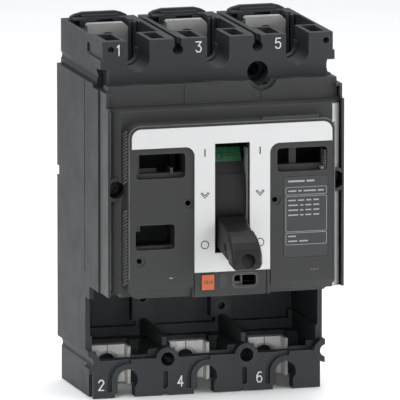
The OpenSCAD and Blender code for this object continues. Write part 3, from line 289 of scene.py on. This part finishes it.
# ---------------------------------------------------------------- materials
MATS = {
    # Mouldings of the case and of the parts that move
    "case_grey": plastic("case_moulding", (0.0215, 0.0245, 0.0267), 0.5, edge_highlight_share=0.7, spec=0.22),
    "cover_grey": plastic("cover_moulding", (0.024, 0.0245, 0.025), 0.42, edge_highlight_share=0.8, spec=0.3),
    "faceplate_white": film("faceplate", (0.5, 0.5, 0.5), 0.42, flow=0.02),
    "label_grey": film("label_film", (0.024, 0.0255, 0.027), 0.42, grain=2600.0, flow=0.04),
    "handle_plastic": plastic("handle_moulding", (0.0075, 0.0075, 0.008), 0.46, edge_highlight_share=0.5, spec=0.25),
    "button_orange": plastic("button_moulding", (0.36, 0.082, 0.03), 0.42, grain=4200.0, edge_highlight_share=0.2),
    "button_mark": plastic("button_mark", (0.2, 0.04, 0.018), 0.42, grain=4200.0, edge_highlight_share=0.0),
    "indicator_green": plastic("indicator_print", (0.018, 0.115, 0.038), 0.45, grain=4200.0, edge_highlight_share=0.0),
    "cartridge_plastic": plastic("cartridge_moulding", (0.03, 0.03, 0.033), 0.6, grain=3000.0),
    "rotor_plastic": plastic("rotor_moulding", (0.24, 0.19, 0.12), 0.55, grain=3000.0),
    # Metals
    "tinned_terminal": metal("tinned_copper", (0.44, 0.44, 0.43), 0.42, brush=(5, 5, 1),
                             tint=(0.39, 0.38, 0.36), stain=0.08, streak=0.1, metallic=0.8),
    # Painted light: the load terminals' tin is paler and less metallic than the line terminals', standing in
    # for the light their dark bay keeps off them
    "tinned_load_painted_light": metal("tinned_load_painted_light", (0.9, 0.895, 0.88), 0.36, brush=(5, 5, 1),
                         tint=(0.8, 0.79, 0.76), stain=0.08, streak=0.1, metallic=0.15),
    "copper": metal("bare_copper", (0.78, 0.42, 0.28), 0.35, brush=(1, 1, 12), tint=(0.45, 0.22, 0.14)),
    "silver_tip": metal("silver_alloy", (0.8, 0.79, 0.76), 0.4, brush=(12, 1, 1)),
    "steel": metal("zinc_steel", (0.6, 0.61, 0.63), 0.36, brush=(1, 12, 1), tint=(0.62, 0.6, 0.5)),
    "dark_screw": metal("blackened_steel", (0.05, 0.05, 0.052), 0.45, brush=(12, 12, 1)),
    # Small relief on the cover: the lighter colours are painted highlights on rims, ribs and channel edges,
    # and the dark one is painted shade under ribs and steps that also draws thin dark lines
    "rim_highlight_grey": plastic("rim_painted_highlight", (0.05, 0.051, 0.052), 0.38, edge_highlight_share=0.6),
    "bevel_highlight_pale": film("bevel_painted_highlight", (0.24, 0.244, 0.248), 0.4),
    "rib_highlight_mid": film("rib_painted_highlight_mid", (0.105, 0.106, 0.107), 0.38),
    "dark_shade_and_line": film("painted_shade_and_dark_line", (0.006, 0.006, 0.0062), 0.5),
    "pale_highlight": film("pale_painted_highlight", (0.2, 0.202, 0.204), 0.4),
    # Printed marks
    "print_grey": film("print_grey", (0.03, 0.03, 0.031), 0.5, grain=4000.0, spec=0.45, flow=0.08),
    "print_dark": film("print_dark", (0.006, 0.035, 0.012), 0.5, grain=4000.0, spec=0.45, flow=0.08),
    "print_mid": film("print_mid", (0.26, 0.265, 0.27), 0.5, grain=4000.0),
    "print_pale": film("print_pale", (0.5, 0.51, 0.51), 0.5, grain=4000.0),
    # Studio
    "floor": film("studio_paper", (0.96, 0.96, 0.96), 0.8, grain=1200.0, spec=0.2, flow=0.01),
}


# ---------------------------------------------------------------- CAD nodes
SLOT_OF = {row["node"]: row["material_slot"] for row in frame["record"]["subparts"]}
USUAL_BEVEL = 0.15
BEVEL = {"base_case": 0.28, "mid_case": 0.3, "front_cover": 0.32, "faceplate": 0.18,
         "toggle_handle": 0.2, "handle_shroud": 0.2, "trip_button": 0.35, "rating_label": 0.05,
         "insulating_flaps": 0.2, "off_indicator": 0.05}
FLAT_ANGLE = math.radians(1.0)
EDGE_ANGLE = math.radians(32)


def node_material(node):
    """The load terminals sit in a dark bay and get a paler, less metallic copy of the tin, painted light
    standing in for the light the bay keeps off them.
    """
    if node.startswith("load_terminal"):
        return MATS["tinned_load_painted_light"]
    return MATS[SLOT_OF[node]]


def round_edges(obj, width):
    """Merge flat faces, round the sharp edges and keep the faces' shading flat."""
    flat = obj.modifiers.new("flatten", "DECIMATE")
    flat.decimate_type = "DISSOLVE"
    flat.angle_limit = FLAT_ANGLE
    bevel = obj.modifiers.new("edge_round", "BEVEL")
    bevel.width = width * MM
    bevel.segments = 2
    bevel.limit_method = "ANGLE"
    bevel.angle_limit = EDGE_ANGLE
    bevel.use_clamp_overlap = True
    bevel.harden_normals = True
    bevel.miter_outer = "MITER_ARC"
    normals = obj.modifiers.new("normals", "WEIGHTED_NORMAL")
    normals.keep_sharp = True
    normals.weight = 80


for name, obj in NODES.items():
    obj.data.materials.clear()
    obj.data.materials.append(node_material(name))
    for face in obj.data.polygons:
        face.use_smooth = True
    round_edges(obj, BEVEL.get(name, USUAL_BEVEL))


# ---------------------------------------------------------------- piece tools
def mesh_object(bm, name, material):
    """New object in the scene, made of a bmesh and one material."""
    mesh = bpy.data.meshes.new(name)
    bm.to_mesh(mesh)
    bm.free()
    mesh.materials.append(MATS[material])
    obj = bpy.data.objects.new(name, mesh)
    bpy.context.scene.collection.objects.link(obj)
    return obj


def finish_piece(bm, name, material, body, bevel=0.0):
    """Piece that rides on a body, with its edges rounded where a bevel is given."""
    bmesh.ops.recalc_face_normals(bm, faces=bm.faces[:])
    obj = mesh_object(bm, name, material)
    if bevel:
        edge = obj.modifiers.new("edge_round", "BEVEL")
        edge.width = bevel * MM
        edge.segments = 2
        edge.limit_method = "ANGLE"
    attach(obj, body)


def metres(x, depth, z):
    """Place in metres, from millimetres."""
    return (x * MM, -depth * MM, z * MM)


def solid(bm, first, last):
    """Closed solid between two loops that have the same number of places."""
    low = [bm.verts.new(place) for place in first]
    high = [bm.verts.new(place) for place in last]
    count = len(low)
    bm.faces.new(low)
    bm.faces.new(high[::-1])
    for i in range(count):
        j = (i + 1) % count
        bm.faces.new((low[i], high[i], high[j], low[j]))


def prism(bm, outline, depth0, depth1):
    """Closed (x, z) outline made solid between two depths."""
    solid(bm, [metres(x, depth0, z) for x, z in outline], [metres(x, depth1, z) for x, z in outline])


def side_prism(bm, outline, x0, x1):
    """Closed (depth, z) outline made solid between two x values."""
    solid(bm, [metres(x0, depth, z) for depth, z in outline], [metres(x1, depth, z) for depth, z in outline])


def upright_prism(bm, outline, z0, z1):
    """Closed (x, depth) outline made solid between two heights."""
    solid(bm, [metres(x, depth, z0) for x, depth in outline], [metres(x, depth, z1) for x, depth in outline])


def ring(bm, outer, inner, depth0, depth1):
    """Frame between two (x, z) outlines that have the same number of points."""
    loops = [[bm.verts.new(metres(x, depth, z)) for x, z in outline]
             for outline, depth in ((outer, depth0), (outer, depth1), (inner, depth1), (inner, depth0))]
    count = len(outer)
    for a, here in enumerate(loops):
        there = loops[(a + 1) % len(loops)]
        for i in range(count):
            j = (i + 1) % count
            bm.faces.new((here[i], there[i], there[j], here[j]))


def arc(x, z, r, start, steps):
    """Quarter of a circle in steps, from a start angle in degrees."""
    turns = [math.radians(start + 90 * k / steps) for k in range(steps + 1)]
    return [(x + r * math.cos(turn), z + r * math.sin(turn)) for turn in turns]


def rect(x0, x1, z0, z1, r=0.0, steps=5):
    """Rectangle's outline, with round corners where a radius is given."""
    if not r:
        return [(x0, z0), (x1, z0), (x1, z1), (x0, z1)]
    return (arc(x1 - r, z0 + r, r, -90, steps) + arc(x1 - r, z1 - r, r, 0, steps)
            + arc(x0 + r, z1 - r, r, 90, steps) + arc(x0 + r, z0 + r, r, 180, steps))


def arch(half_width, foot, top, r, steps=8):
    """Open line up the right side, round both top corners and down the left side."""
    right = arc(half_width - r, top - r, r, 0, steps)
    left = arc(r - half_width, top - r, r, 90, steps)
    return [(half_width, foot)] + right + left + [(-half_width, foot)]


def disc(x, z, r, count=28):
    """Circle's outline."""
    turns = [2 * math.pi * k / count for k in range(count)]
    return [(x + r * math.cos(turn), z + r * math.sin(turn)) for turn in turns]


# Stroke digits and letters on a 2 x 4 grid, drawn as joined bars
STROKES = {
    "1": [[(0.4, 3.3), (1.1, 4), (1.1, 0)]],
    "2": [[(0, 3.2), (0.5, 4), (1.5, 4), (2, 3.3), (2, 2.7), (0, 0), (2, 0)]],
    "3": [[(0, 4), (2, 4), (0.9, 2.4), (1.6, 2.2), (2, 1.5), (2, 0.7), (1.5, 0), (0.5, 0), (0, 0.6)]],
    "4": [[(1.5, 0), (1.5, 4), (0, 1.2), (2.1, 1.2)]],
    "5": [[(1.9, 4), (0.2, 4), (0, 2.2), (0.6, 2.5), (1.4, 2.5), (2, 1.8), (2, 0.8), (1.4, 0),
           (0.5, 0), (0, 0.6)]],
    "6": [[(1.8, 3.8), (1.2, 4), (0.6, 3.7), (0, 2.4), (0, 0.9), (0.5, 0), (1.5, 0), (2, 0.8),
           (2, 1.5), (1.5, 2.3), (0.6, 2.3), (0, 1.5)]],
    "O": [[(0.6, 0), (0, 0.7), (0, 3.3), (0.6, 4), (1.4, 4), (2, 3.3), (2, 0.7), (1.4, 0), (0.6, 0)]],
    "F": [[(0, 0), (0, 4), (1.9, 4)], [(0, 2.1), (1.6, 2.1)]],
    "-": [[(0.2, 2.1), (1.6, 2.1)]],
}
GRID_HEIGHT = 4.0


def glyph_bars(text, x, z, height, weight, gap=0.9, wide=1.0):
    """Four-cornered bars in a flat (x, z) plane that write a text."""
    unit = height / GRID_HEIGHT
    bars = []
    for letter in text:
        for line in STROKES[letter]:
            for (ax, az), (bx, bz) in zip(line, line[1:]):
                start = Vector((x + ax * unit * wide, z + az * unit))
                end = Vector((x + bx * unit * wide, z + bz * unit))
                along = (end - start).normalized() * weight / 2
                across = Vector((-along.y, along.x))
                bars.append([start - along - across, end + along - across,
                             end + along + across, start - along + across])
        x += (2 * wide + gap) * unit
    return bars


# How far flat marks start below a surface and stand proud of it
SUNK = 0.05
PROUD = 0.05
PRINT_PROUD = 0.03

# ---------------------------------------------------------------- terminal numbers
NUMBER_HEIGHT = 4.3
NUMBER_WEIGHT = 0.48
NUMBER_SUNK = 0.3
NUMBER_PROUD = 0.22
# Bars that meet stand proud by slightly different amounts, so that their faces don't lie in one plane
BAR_STEP = 0.004
BAR_LEVELS = 3
# For each row: its numbers, how far left of the pole's middle they start, their height, and the
# depth of the block's front that they stand on
NUMBER_ROWS = (("135", 9.6, 72.2, 66.5),
               ("246", 12.9, -74.6, 49.8))

for numbers, left, z, block_front in NUMBER_ROWS:
    for number, pole_x in zip(numbers, POLES):
        bm = bmesh.new()
        for k, bar in enumerate(glyph_bars(number, pole_x - left, z, NUMBER_HEIGHT, NUMBER_WEIGHT)):
            top = block_front + NUMBER_PROUD + BAR_STEP * (k % BAR_LEVELS)
            prism(bm, [(p.x, p.y) for p in bar], block_front - NUMBER_SUNK, top)
        finish_piece(bm, "terminal_number_" + number, "print_pale", "case")

# ---------------------------------------------------------------- faceplate marks
FACE_D = mm_box("faceplate")[3]
MARK_X = 12.1
ON_HALF_WIDTH = 0.28
ON_RADIUS = 0.2
ON_Z = (31.1, 34.4)
CHEVRON_Z = 14.6
CHEVRON_LINE = 0.5
CIRCLE_Z = -6.6
CIRCLE_RADIUS = 1.85
CIRCLE_LINE = 0.4


def chevron(x, z, inset=0.0):
    """Outline of a V with square ends; the inset draws the inner outline."""
    half_width = 2.0 - inset
    shoulder = z + 1.4 - inset
    return [(x - half_width, z + 0.7), (x - 1.3, shoulder), (x, z + 0.1 - inset),
            (x + 1.3, shoulder), (x + half_width, z + 0.7), (x, z - 1.4 + inset)]


bm = bmesh.new()
for x in (-MARK_X, MARK_X):
    prism(bm, rect(x - ON_HALF_WIDTH, x + ON_HALF_WIDTH, *ON_Z, ON_RADIUS, steps=2),
          FACE_D - SUNK, FACE_D + PROUD)
    ring(bm, chevron(x, CHEVRON_Z), chevron(x, CHEVRON_Z, CHEVRON_LINE), FACE_D - SUNK, FACE_D + PROUD)
    ring(bm, disc(x, CIRCLE_Z, CIRCLE_RADIUS), disc(x, CIRCLE_Z, CIRCLE_RADIUS - CIRCLE_LINE),
         FACE_D - SUNK, FACE_D + PROUD)
finish_piece(bm, "faceplate_marks", "print_grey", "case")

# ---------------------------------------------------------------- label print
LABEL_X0, LABEL_X1, _, LABEL_D, _, _ = mm_box("rating_label")
LABEL_FRAMES = ((12.7, 16.1), (-3.1, 12.2), (-8.7, -3.5))
FRAME_LEFT_GAP = 0.9
FRAME_RIGHT_GAP = 0.5
FRAME_LINE = 0.18
FRAME_RADIUS = 0.7
FRAME_INNER_RADIUS = 0.55
RATING_WORDS = (4.4, 1.4, 2.6, 2.6)
# Height of the row's middle, letter size and the words' widths
LABEL_ROWS = ((18.6, 1.1, (7.2, 3.4)),
              (14.4, 0.9, (3.6, 1.4, 5.4, 2.6)),
              (10.4, 0.8, (3.4, 2.8, 2.2, 2.4)),
              (8.3, 0.8, RATING_WORDS),
              (6.2, 0.8, RATING_WORDS),
              (4.1, 0.8, RATING_WORDS),
              (-5.0, 0.8, (3.4,)),
              (-7.1, 0.8, (4.0, 3.8)))
WORD_START = 2.0
WORD_GAP = 0.9
WORD_HALF_HEIGHT = 0.36
WORD_RADIUS = 0.15

bm = bmesh.new()
for z0, z1 in LABEL_FRAMES:
    x0 = LABEL_X0 + FRAME_LEFT_GAP
    x1 = LABEL_X1 - FRAME_RIGHT_GAP
    ring(bm, rect(x0, x1, z0, z1, FRAME_RADIUS),
         rect(x0 + FRAME_LINE, x1 - FRAME_LINE, z0 + FRAME_LINE, z1 - FRAME_LINE, FRAME_INNER_RADIUS),
         LABEL_D - SUNK, LABEL_D + PRINT_PROUD)
for z, size, words in LABEL_ROWS:
    x = LABEL_X0 + WORD_START
    half = WORD_HALF_HEIGHT * size
    for width in words:
        prism(bm, rect(x, x + width, z - half, z + half, WORD_RADIUS, steps=2),
              LABEL_D - SUNK, LABEL_D + PRINT_PROUD)
        x += width + WORD_GAP
finish_piece(bm, "label_print", "print_mid", "case")

# ---------------------------------------------------------------- OFF on the shroud
PIVOT_D = 47.0
PIVOT_Z = 13.05
SHROUD_RADIUS = 36.42
OFF_ANGLE = math.radians(27.9)
OFF_SUNK = 0.15
OFF_PROUD = 0.04
OFF_STEP = 0.003
OFF_LEVELS = 4


def wrapped(bar, radius):
    """Bar's corners laid on a cylinder round the handle's pivot."""
    places = []
    for corner in bar:
        turn = OFF_ANGLE + corner.y / SHROUD_RADIUS
        places.append(metres(corner.x, PIVOT_D + radius * math.cos(turn), PIVOT_Z + radius * math.sin(turn)))
    return places


bm = bmesh.new()
for k, bar in enumerate(glyph_bars("OFF-", x=-4.35, z=-2.1, height=2.8, weight=0.4, gap=0.55, wide=1.42)):
    top = SHROUD_RADIUS + OFF_PROUD + OFF_STEP * (k % OFF_LEVELS)
    solid(bm, wrapped(bar, SHROUD_RADIUS - OFF_SUNK), wrapped(bar, top))
finish_piece(bm, "off_letters", "print_dark", "handle")

# Painted shade: a dark strip where the shroud steps back stands in for the shadow under the step
STEP_SHADE = rect(-7.0, 6.9, 22.2, 22.8)
STEP_SHADE_D = (82.45, 82.95)

bm = bmesh.new()
prism(bm, STEP_SHADE, *STEP_SHADE_D)
finish_piece(bm, "shroud_step_shade", "dark_shade_and_line", "handle")

# ---------------------------------------------------------------- load terminals
# Line above each load terminal's hole, a little left of the pole's middle
LINE_LEFT = 0.65
LINE_RIGHT = 0.3
LINE_Z = (-64.9, -61.5)
LINE_D = (18.1, 18.42)

bm = bmesh.new()
for pole_x in POLES:
    prism(bm, rect(pole_x - LINE_LEFT, pole_x - LINE_RIGHT, *LINE_Z), *LINE_D)
finish_piece(bm, "load_terminal_lines", "dark_shade_and_line", "case")

# ---------------------------------------------------------------- grip ribs round the raised zone
RAISED_D = mm_box("front_cover")[3]
RAISED_HALF_W = 45.3
SIDE_RIB_COUNT = 47
SIDE_RIB_PITCH = 1.4
SIDE_RIB_TOP = 40.6
SIDE_RIB_THICK = 0.65
SIDE_RIB_RISE = 1.9
SIDE_RIB_D = (81.6, 86.4)
SIDE_RIB_X = (RAISED_HALF_W - 0.05, RAISED_HALF_W + 0.6)
# Heights between which the screw recess interrupts the ribs
SCREW_GAP = (7.5, 19.0)

# Painted highlight: the side ribs are coloured lighter than the case, standing in for the light they catch
bm = bmesh.new()
for k in range(SIDE_RIB_COUNT):
    z = SIDE_RIB_TOP - k * SIDE_RIB_PITCH
    if SCREW_GAP[0] < z < SCREW_GAP[1]:
        continue
    top = z + SIDE_RIB_RISE
    outline = [(SIDE_RIB_D[0], z), (SIDE_RIB_D[0], z + SIDE_RIB_THICK),
               (SIDE_RIB_D[1], top + SIDE_RIB_THICK), (SIDE_RIB_D[1], top)]
    for side in (-1, 1):
        side_prism(bm, outline, *sorted(side * x for x in SIDE_RIB_X))
finish_piece(bm, "side_grip_ribs", "rib_highlight_mid", "case", bevel=0.12)

TOP_RIB_COUNT = 19
TOP_RIB_PITCH = 1.3
TOP_RIB_START = 16.4
TOP_RIB_THICK = 0.5
TOP_RIB_SLANT = 2.7
TOP_RIB_D = (80.6, 87.0)
TOP_RIB_Z = (45.4, 45.66)
TOP_SHADE_SHEET = rect(13.4, 40.9, 80.4, 87.2)
TOP_SHADE_SHEET_Z = (45.3, 45.48)

# Painted shade: a dark sheet under the top ribs stands in for the shade between them
bm = bmesh.new()
upright_prism(bm, TOP_SHADE_SHEET, *TOP_SHADE_SHEET_Z)
finish_piece(bm, "top_grip_shade_sheet", "dark_shade_and_line", "case")

# Painted highlight: the top ribs are coloured lighter than the case, standing in for the light they catch
bm = bmesh.new()
for k in range(TOP_RIB_COUNT):
    x = TOP_RIB_START + k * TOP_RIB_PITCH
    far = x - TOP_RIB_SLANT
    upright_prism(bm, [(x, TOP_RIB_D[0]), (x + TOP_RIB_THICK, TOP_RIB_D[0]),
                       (far + TOP_RIB_THICK, TOP_RIB_D[1]), (far, TOP_RIB_D[1])], *TOP_RIB_Z)
finish_piece(bm, "top_grip_ribs", "rib_highlight_mid", "case")

# ---------------------------------------------------------------- lip of the raised zone
LIP_HALF_W = 45.25
LIP_TOP = 45.3
LIP_FOOT = -20.0
LIP_RADIUS = 4.9
LIP_WIDTH = 0.45
LIP_D = (RAISED_D - 0.2, RAISED_D + 0.3)
SAME_PLACE_M = 1e-7

# Painted highlight: the lip is coloured lighter than the cover, standing in for the light line along the
# raised zone's edge
bm = bmesh.new()
lip_out = arch(LIP_HALF_W, LIP_FOOT, LIP_TOP, LIP_RADIUS)
lip_in = arch(LIP_HALF_W - LIP_WIDTH, LIP_FOOT, LIP_TOP - LIP_WIDTH, LIP_RADIUS - LIP_WIDTH)
for k in range(len(lip_out) - 1):
    prism(bm, [lip_out[k], lip_out[k + 1], lip_in[k + 1], lip_in[k]], *LIP_D)
bmesh.ops.remove_doubles(bm, verts=bm.verts[:], dist=SAME_PLACE_M)
finish_piece(bm, "raised_zone_lip", "rim_highlight_grey", "case")

# ---------------------------------------------------------------- inside the windows
# x0, x1, z0, z1, depth0, depth1 of the ledges and posts
WINDOW_LEDGES = (
    (-41.75, -20.35, 22.45, 24.2, 79.5, 84.6),   # upper left window: foot
    (-41.75, -39.9, 24.1, 32.9, 79.5, 85.4),     # upper left window: outer wall
    (-26.4, -25.3, 24.1, 26.6, 79.5, 86.0),      # upper left window: post
    (-39.8, -31.0, 24.1, 25.8, 79.0, 80.4),      # upper left window: low step
    (-42.15, -39.4, -0.2, 2.75, 80.0, 85.2),     # lower left window: corner
    (-42.15, -25.05, -7.85, -6.9, 80.0, 84.2),   # lower left window: foot
    (19.95, 41.9, 22.85, 25.2, 79.5, 83.6),      # right window: foot
    (26.9, 30.0, 25.1, 32.9, 79.5, 81.4),        # right window: post
)
HATCH_COUNT = 8
HATCH_PITCH = 1.05
HATCH_THICK = 0.5
HATCH_START = 23.1
HATCH_X = (41.2, 41.95)
HATCH_D = (79.6, 86.6)
HATCH_FOOT = rect(39.6, 41.1, 22.85, 24.0)
HATCH_FOOT_D = (83.5, 86.4)

bm = bmesh.new()
for x0, x1, z0, z1, depth0, depth1 in WINDOW_LEDGES:
    prism(bm, rect(x0, x1, z0, z1), depth0, depth1)
finish_piece(bm, "window_details", "cover_grey", "case", bevel=0.08)

# Painted highlight: the hatching ribs and their foot are coloured much paler than the cover, standing in for
# the light they catch
bm = bmesh.new()
for k in range(HATCH_COUNT):
    z = HATCH_START + HATCH_PITCH * k
    prism(bm, rect(*HATCH_X, z, z + HATCH_THICK), *HATCH_D)
prism(bm, HATCH_FOOT, *HATCH_FOOT_D)
finish_piece(bm, "window_hatching", "pale_highlight", "case", bevel=0.08)

# ---------------------------------------------------------------- lock aperture
# Outer outline, inner outline and how far each rim stands proud of the raised zone
LOCK_RIMS = (
    (rect(0.2, 11.5, -26.0, -19.5, 2.2, 7), rect(0.5, 11.2, -25.7, -19.8, 1.9, 7), 0.16),
    (rect(0.75, 10.9, -25.2, -20.15, 1.5, 7), rect(0.98, 10.65, -24.95, -20.4, 1.25, 7), 0.1),
)
RIM_SUNK = 0.1
LOCK_POST = rect(4.2, 4.9, -24.9, -20.4)
LOCK_POST_D = (83.6, 86.6)
LOCK_STEP = rect(1.0, 4.3, -24.9, -23.4)
LOCK_STEP_D = (83.6, 86.2)

# Painted highlight: the rims, post and step are coloured lighter than the cover, standing in for the light
# along the aperture's rims
bm = bmesh.new()
for outer, inner, proud in LOCK_RIMS:
    ring(bm, outer, inner, RAISED_D - RIM_SUNK, RAISED_D + proud)
prism(bm, LOCK_POST, *LOCK_POST_D)
prism(bm, LOCK_STEP, *LOCK_STEP_D)
finish_piece(bm, "lock_aperture_rim", "rim_highlight_grey", "case", bevel=0.06)

# ---------------------------------------------------------------- small marks on the cover
# Dark plate left of the lock aperture
PLATE = rect(-5.4, -2.2, -25.4, -19.6, r=0.4, steps=3)
PLATE_PROUD = 0.12

bm = bmesh.new()
prism(bm, PLATE, RAISED_D - SUNK, RAISED_D + PLATE_PROUD)
finish_piece(bm, "strip_plate", "label_grey", "case", bevel=0.05)

# Faint mould lines in the upper zone
MOULD_LINES_X = (-16.0, 17.0)
MOULD_LINE_HALF_W = 0.1
MOULD_LINE_Z = (52.4, 58.6)
MOULD_LINE_D = (73.4, 74.07)

bm = bmesh.new()
for x in MOULD_LINES_X:
    prism(bm, rect(x - MOULD_LINE_HALF_W, x + MOULD_LINE_HALF_W, *MOULD_LINE_Z), *MOULD_LINE_D)
finish_piece(bm, "mould_lines", "cover_grey", "case")

# A dash on the left and three dots on the right
DASH = rect(-27.4, -25.9, -20.5, -20.1, r=0.1, steps=2)
DASH_PROUD = 0.04
DOT_COUNT = 3
DOT_PITCH = 1.25
DOT_START = 35.2
DOT_Z = -19.6
DOT_RADIUS = 0.22

bm = bmesh.new()
prism(bm, DASH, RAISED_D - SUNK, RAISED_D + DASH_PROUD)
for k in range(DOT_COUNT):
    prism(bm, disc(DOT_START + DOT_PITCH * k, DOT_Z, DOT_RADIUS, count=10), RAISED_D - SUNK, RAISED_D + PROUD)
finish_piece(bm, "cover_small_marks", "print_mid", "case")

# ---------------------------------------------------------------- channels at the cover's sides
# Each outline is (x, depth) points; the screw recess breaks both lines
RIGHT_HIGHLIGHT = [(46.6, 79.5), (46.6, 80.0), (50.2, 77.45), (50.2, 77.0)]
RIGHT_HIGHLIGHT_Z = ((21.6, 49.6), (-28.4, 12.2))
RIGHT_FOOT = [(42.0, 79.6), (42.0, 80.3), (50.2, 78.4), (50.2, 77.2)]
RIGHT_FOOT_Z = (-28.9, -28.4)
LEFT_EDGE_HIGHLIGHT = [(-50.25, 76.8), (-50.25, 77.45), (-49.95, 77.65), (-49.95, 77.0)]
LEFT_EDGE_HIGHLIGHT_Z = ((21.6, 49.8), (-26.4, 12.2))

# Painted highlight: a pale strip on the right-hand channel's bevel, and its foot, stand in for the light the
# bevel reflects
bm = bmesh.new()
for z0, z1 in RIGHT_HIGHLIGHT_Z:
    upright_prism(bm, RIGHT_HIGHLIGHT, z0, z1)
upright_prism(bm, RIGHT_FOOT, *RIGHT_FOOT_Z)
finish_piece(bm, "channel_highlight_right", "bevel_highlight_pale", "case")

# Painted highlight: a fainter pale line at the left-hand channel's outer edge stands in for the light along
# that edge
bm = bmesh.new()
for z0, z1 in LEFT_EDGE_HIGHLIGHT_Z:
    upright_prism(bm, LEFT_EDGE_HIGHLIGHT, z0, z1)
finish_piece(bm, "channel_edge_highlight_left", "pale_highlight", "case")

# ---------------------------------------------------------------- handle slot
# Guide ribs on both side walls, coloured pale as a painted highlight where the slot lies in shade
GUIDE_X = (7.2, 7.75)
GUIDE_Z = (-6.0, 33.5)
GUIDE_D = (81.0, 85.4)

bm = bmesh.new()
for side in (-1, 1):
    prism(bm, rect(*sorted(side * x for x in GUIDE_X), *GUIDE_Z), *GUIDE_D)
finish_piece(bm, "slot_guide_ribs", "pale_highlight", "case", bevel=0.08)

# ---------------------------------------------------------------- trip button
# Raised dashes where the button's word would be, each with its start and width
BUTTON_X0, _, _, BUTTON_D, BUTTON_Z0, _ = mm_box("trip_button")
BUTTON_DASHES = ((2.0, 0.5), (2.9, 0.8), (4.2, 0.4), (4.9, 0.9))
BUTTON_DASH_Z = (BUTTON_Z0 + 2.6, BUTTON_Z0 + 4.0)
BUTTON_DASH_PROUD = 0.08

bm = bmesh.new()
for start, width in BUTTON_DASHES:
    x = BUTTON_X0 + start
    prism(bm, rect(x, x + width, *BUTTON_DASH_Z), BUTTON_D - SUNK, BUTTON_D + BUTTON_DASH_PROUD)
finish_piece(bm, "trip_button_marks", "button_mark", "trip_button_body")

# ---------------------------------------------------------------- floor
FLOOR_CELLS = 24
FLOOR_HALF_M = 3.2
FLOOR_GAP_M = 0.0002

bm = bmesh.new()
floor_place = Matrix.Translation((0.0, 0.0, CAD_BOX[0].z - FLOOR_GAP_M))
bmesh.ops.create_grid(bm, x_segments=FLOOR_CELLS, y_segments=FLOOR_CELLS,
                      size=FLOOR_HALF_M, matrix=floor_place)
floor = mesh_object(bm, "studio_floor", "floor")
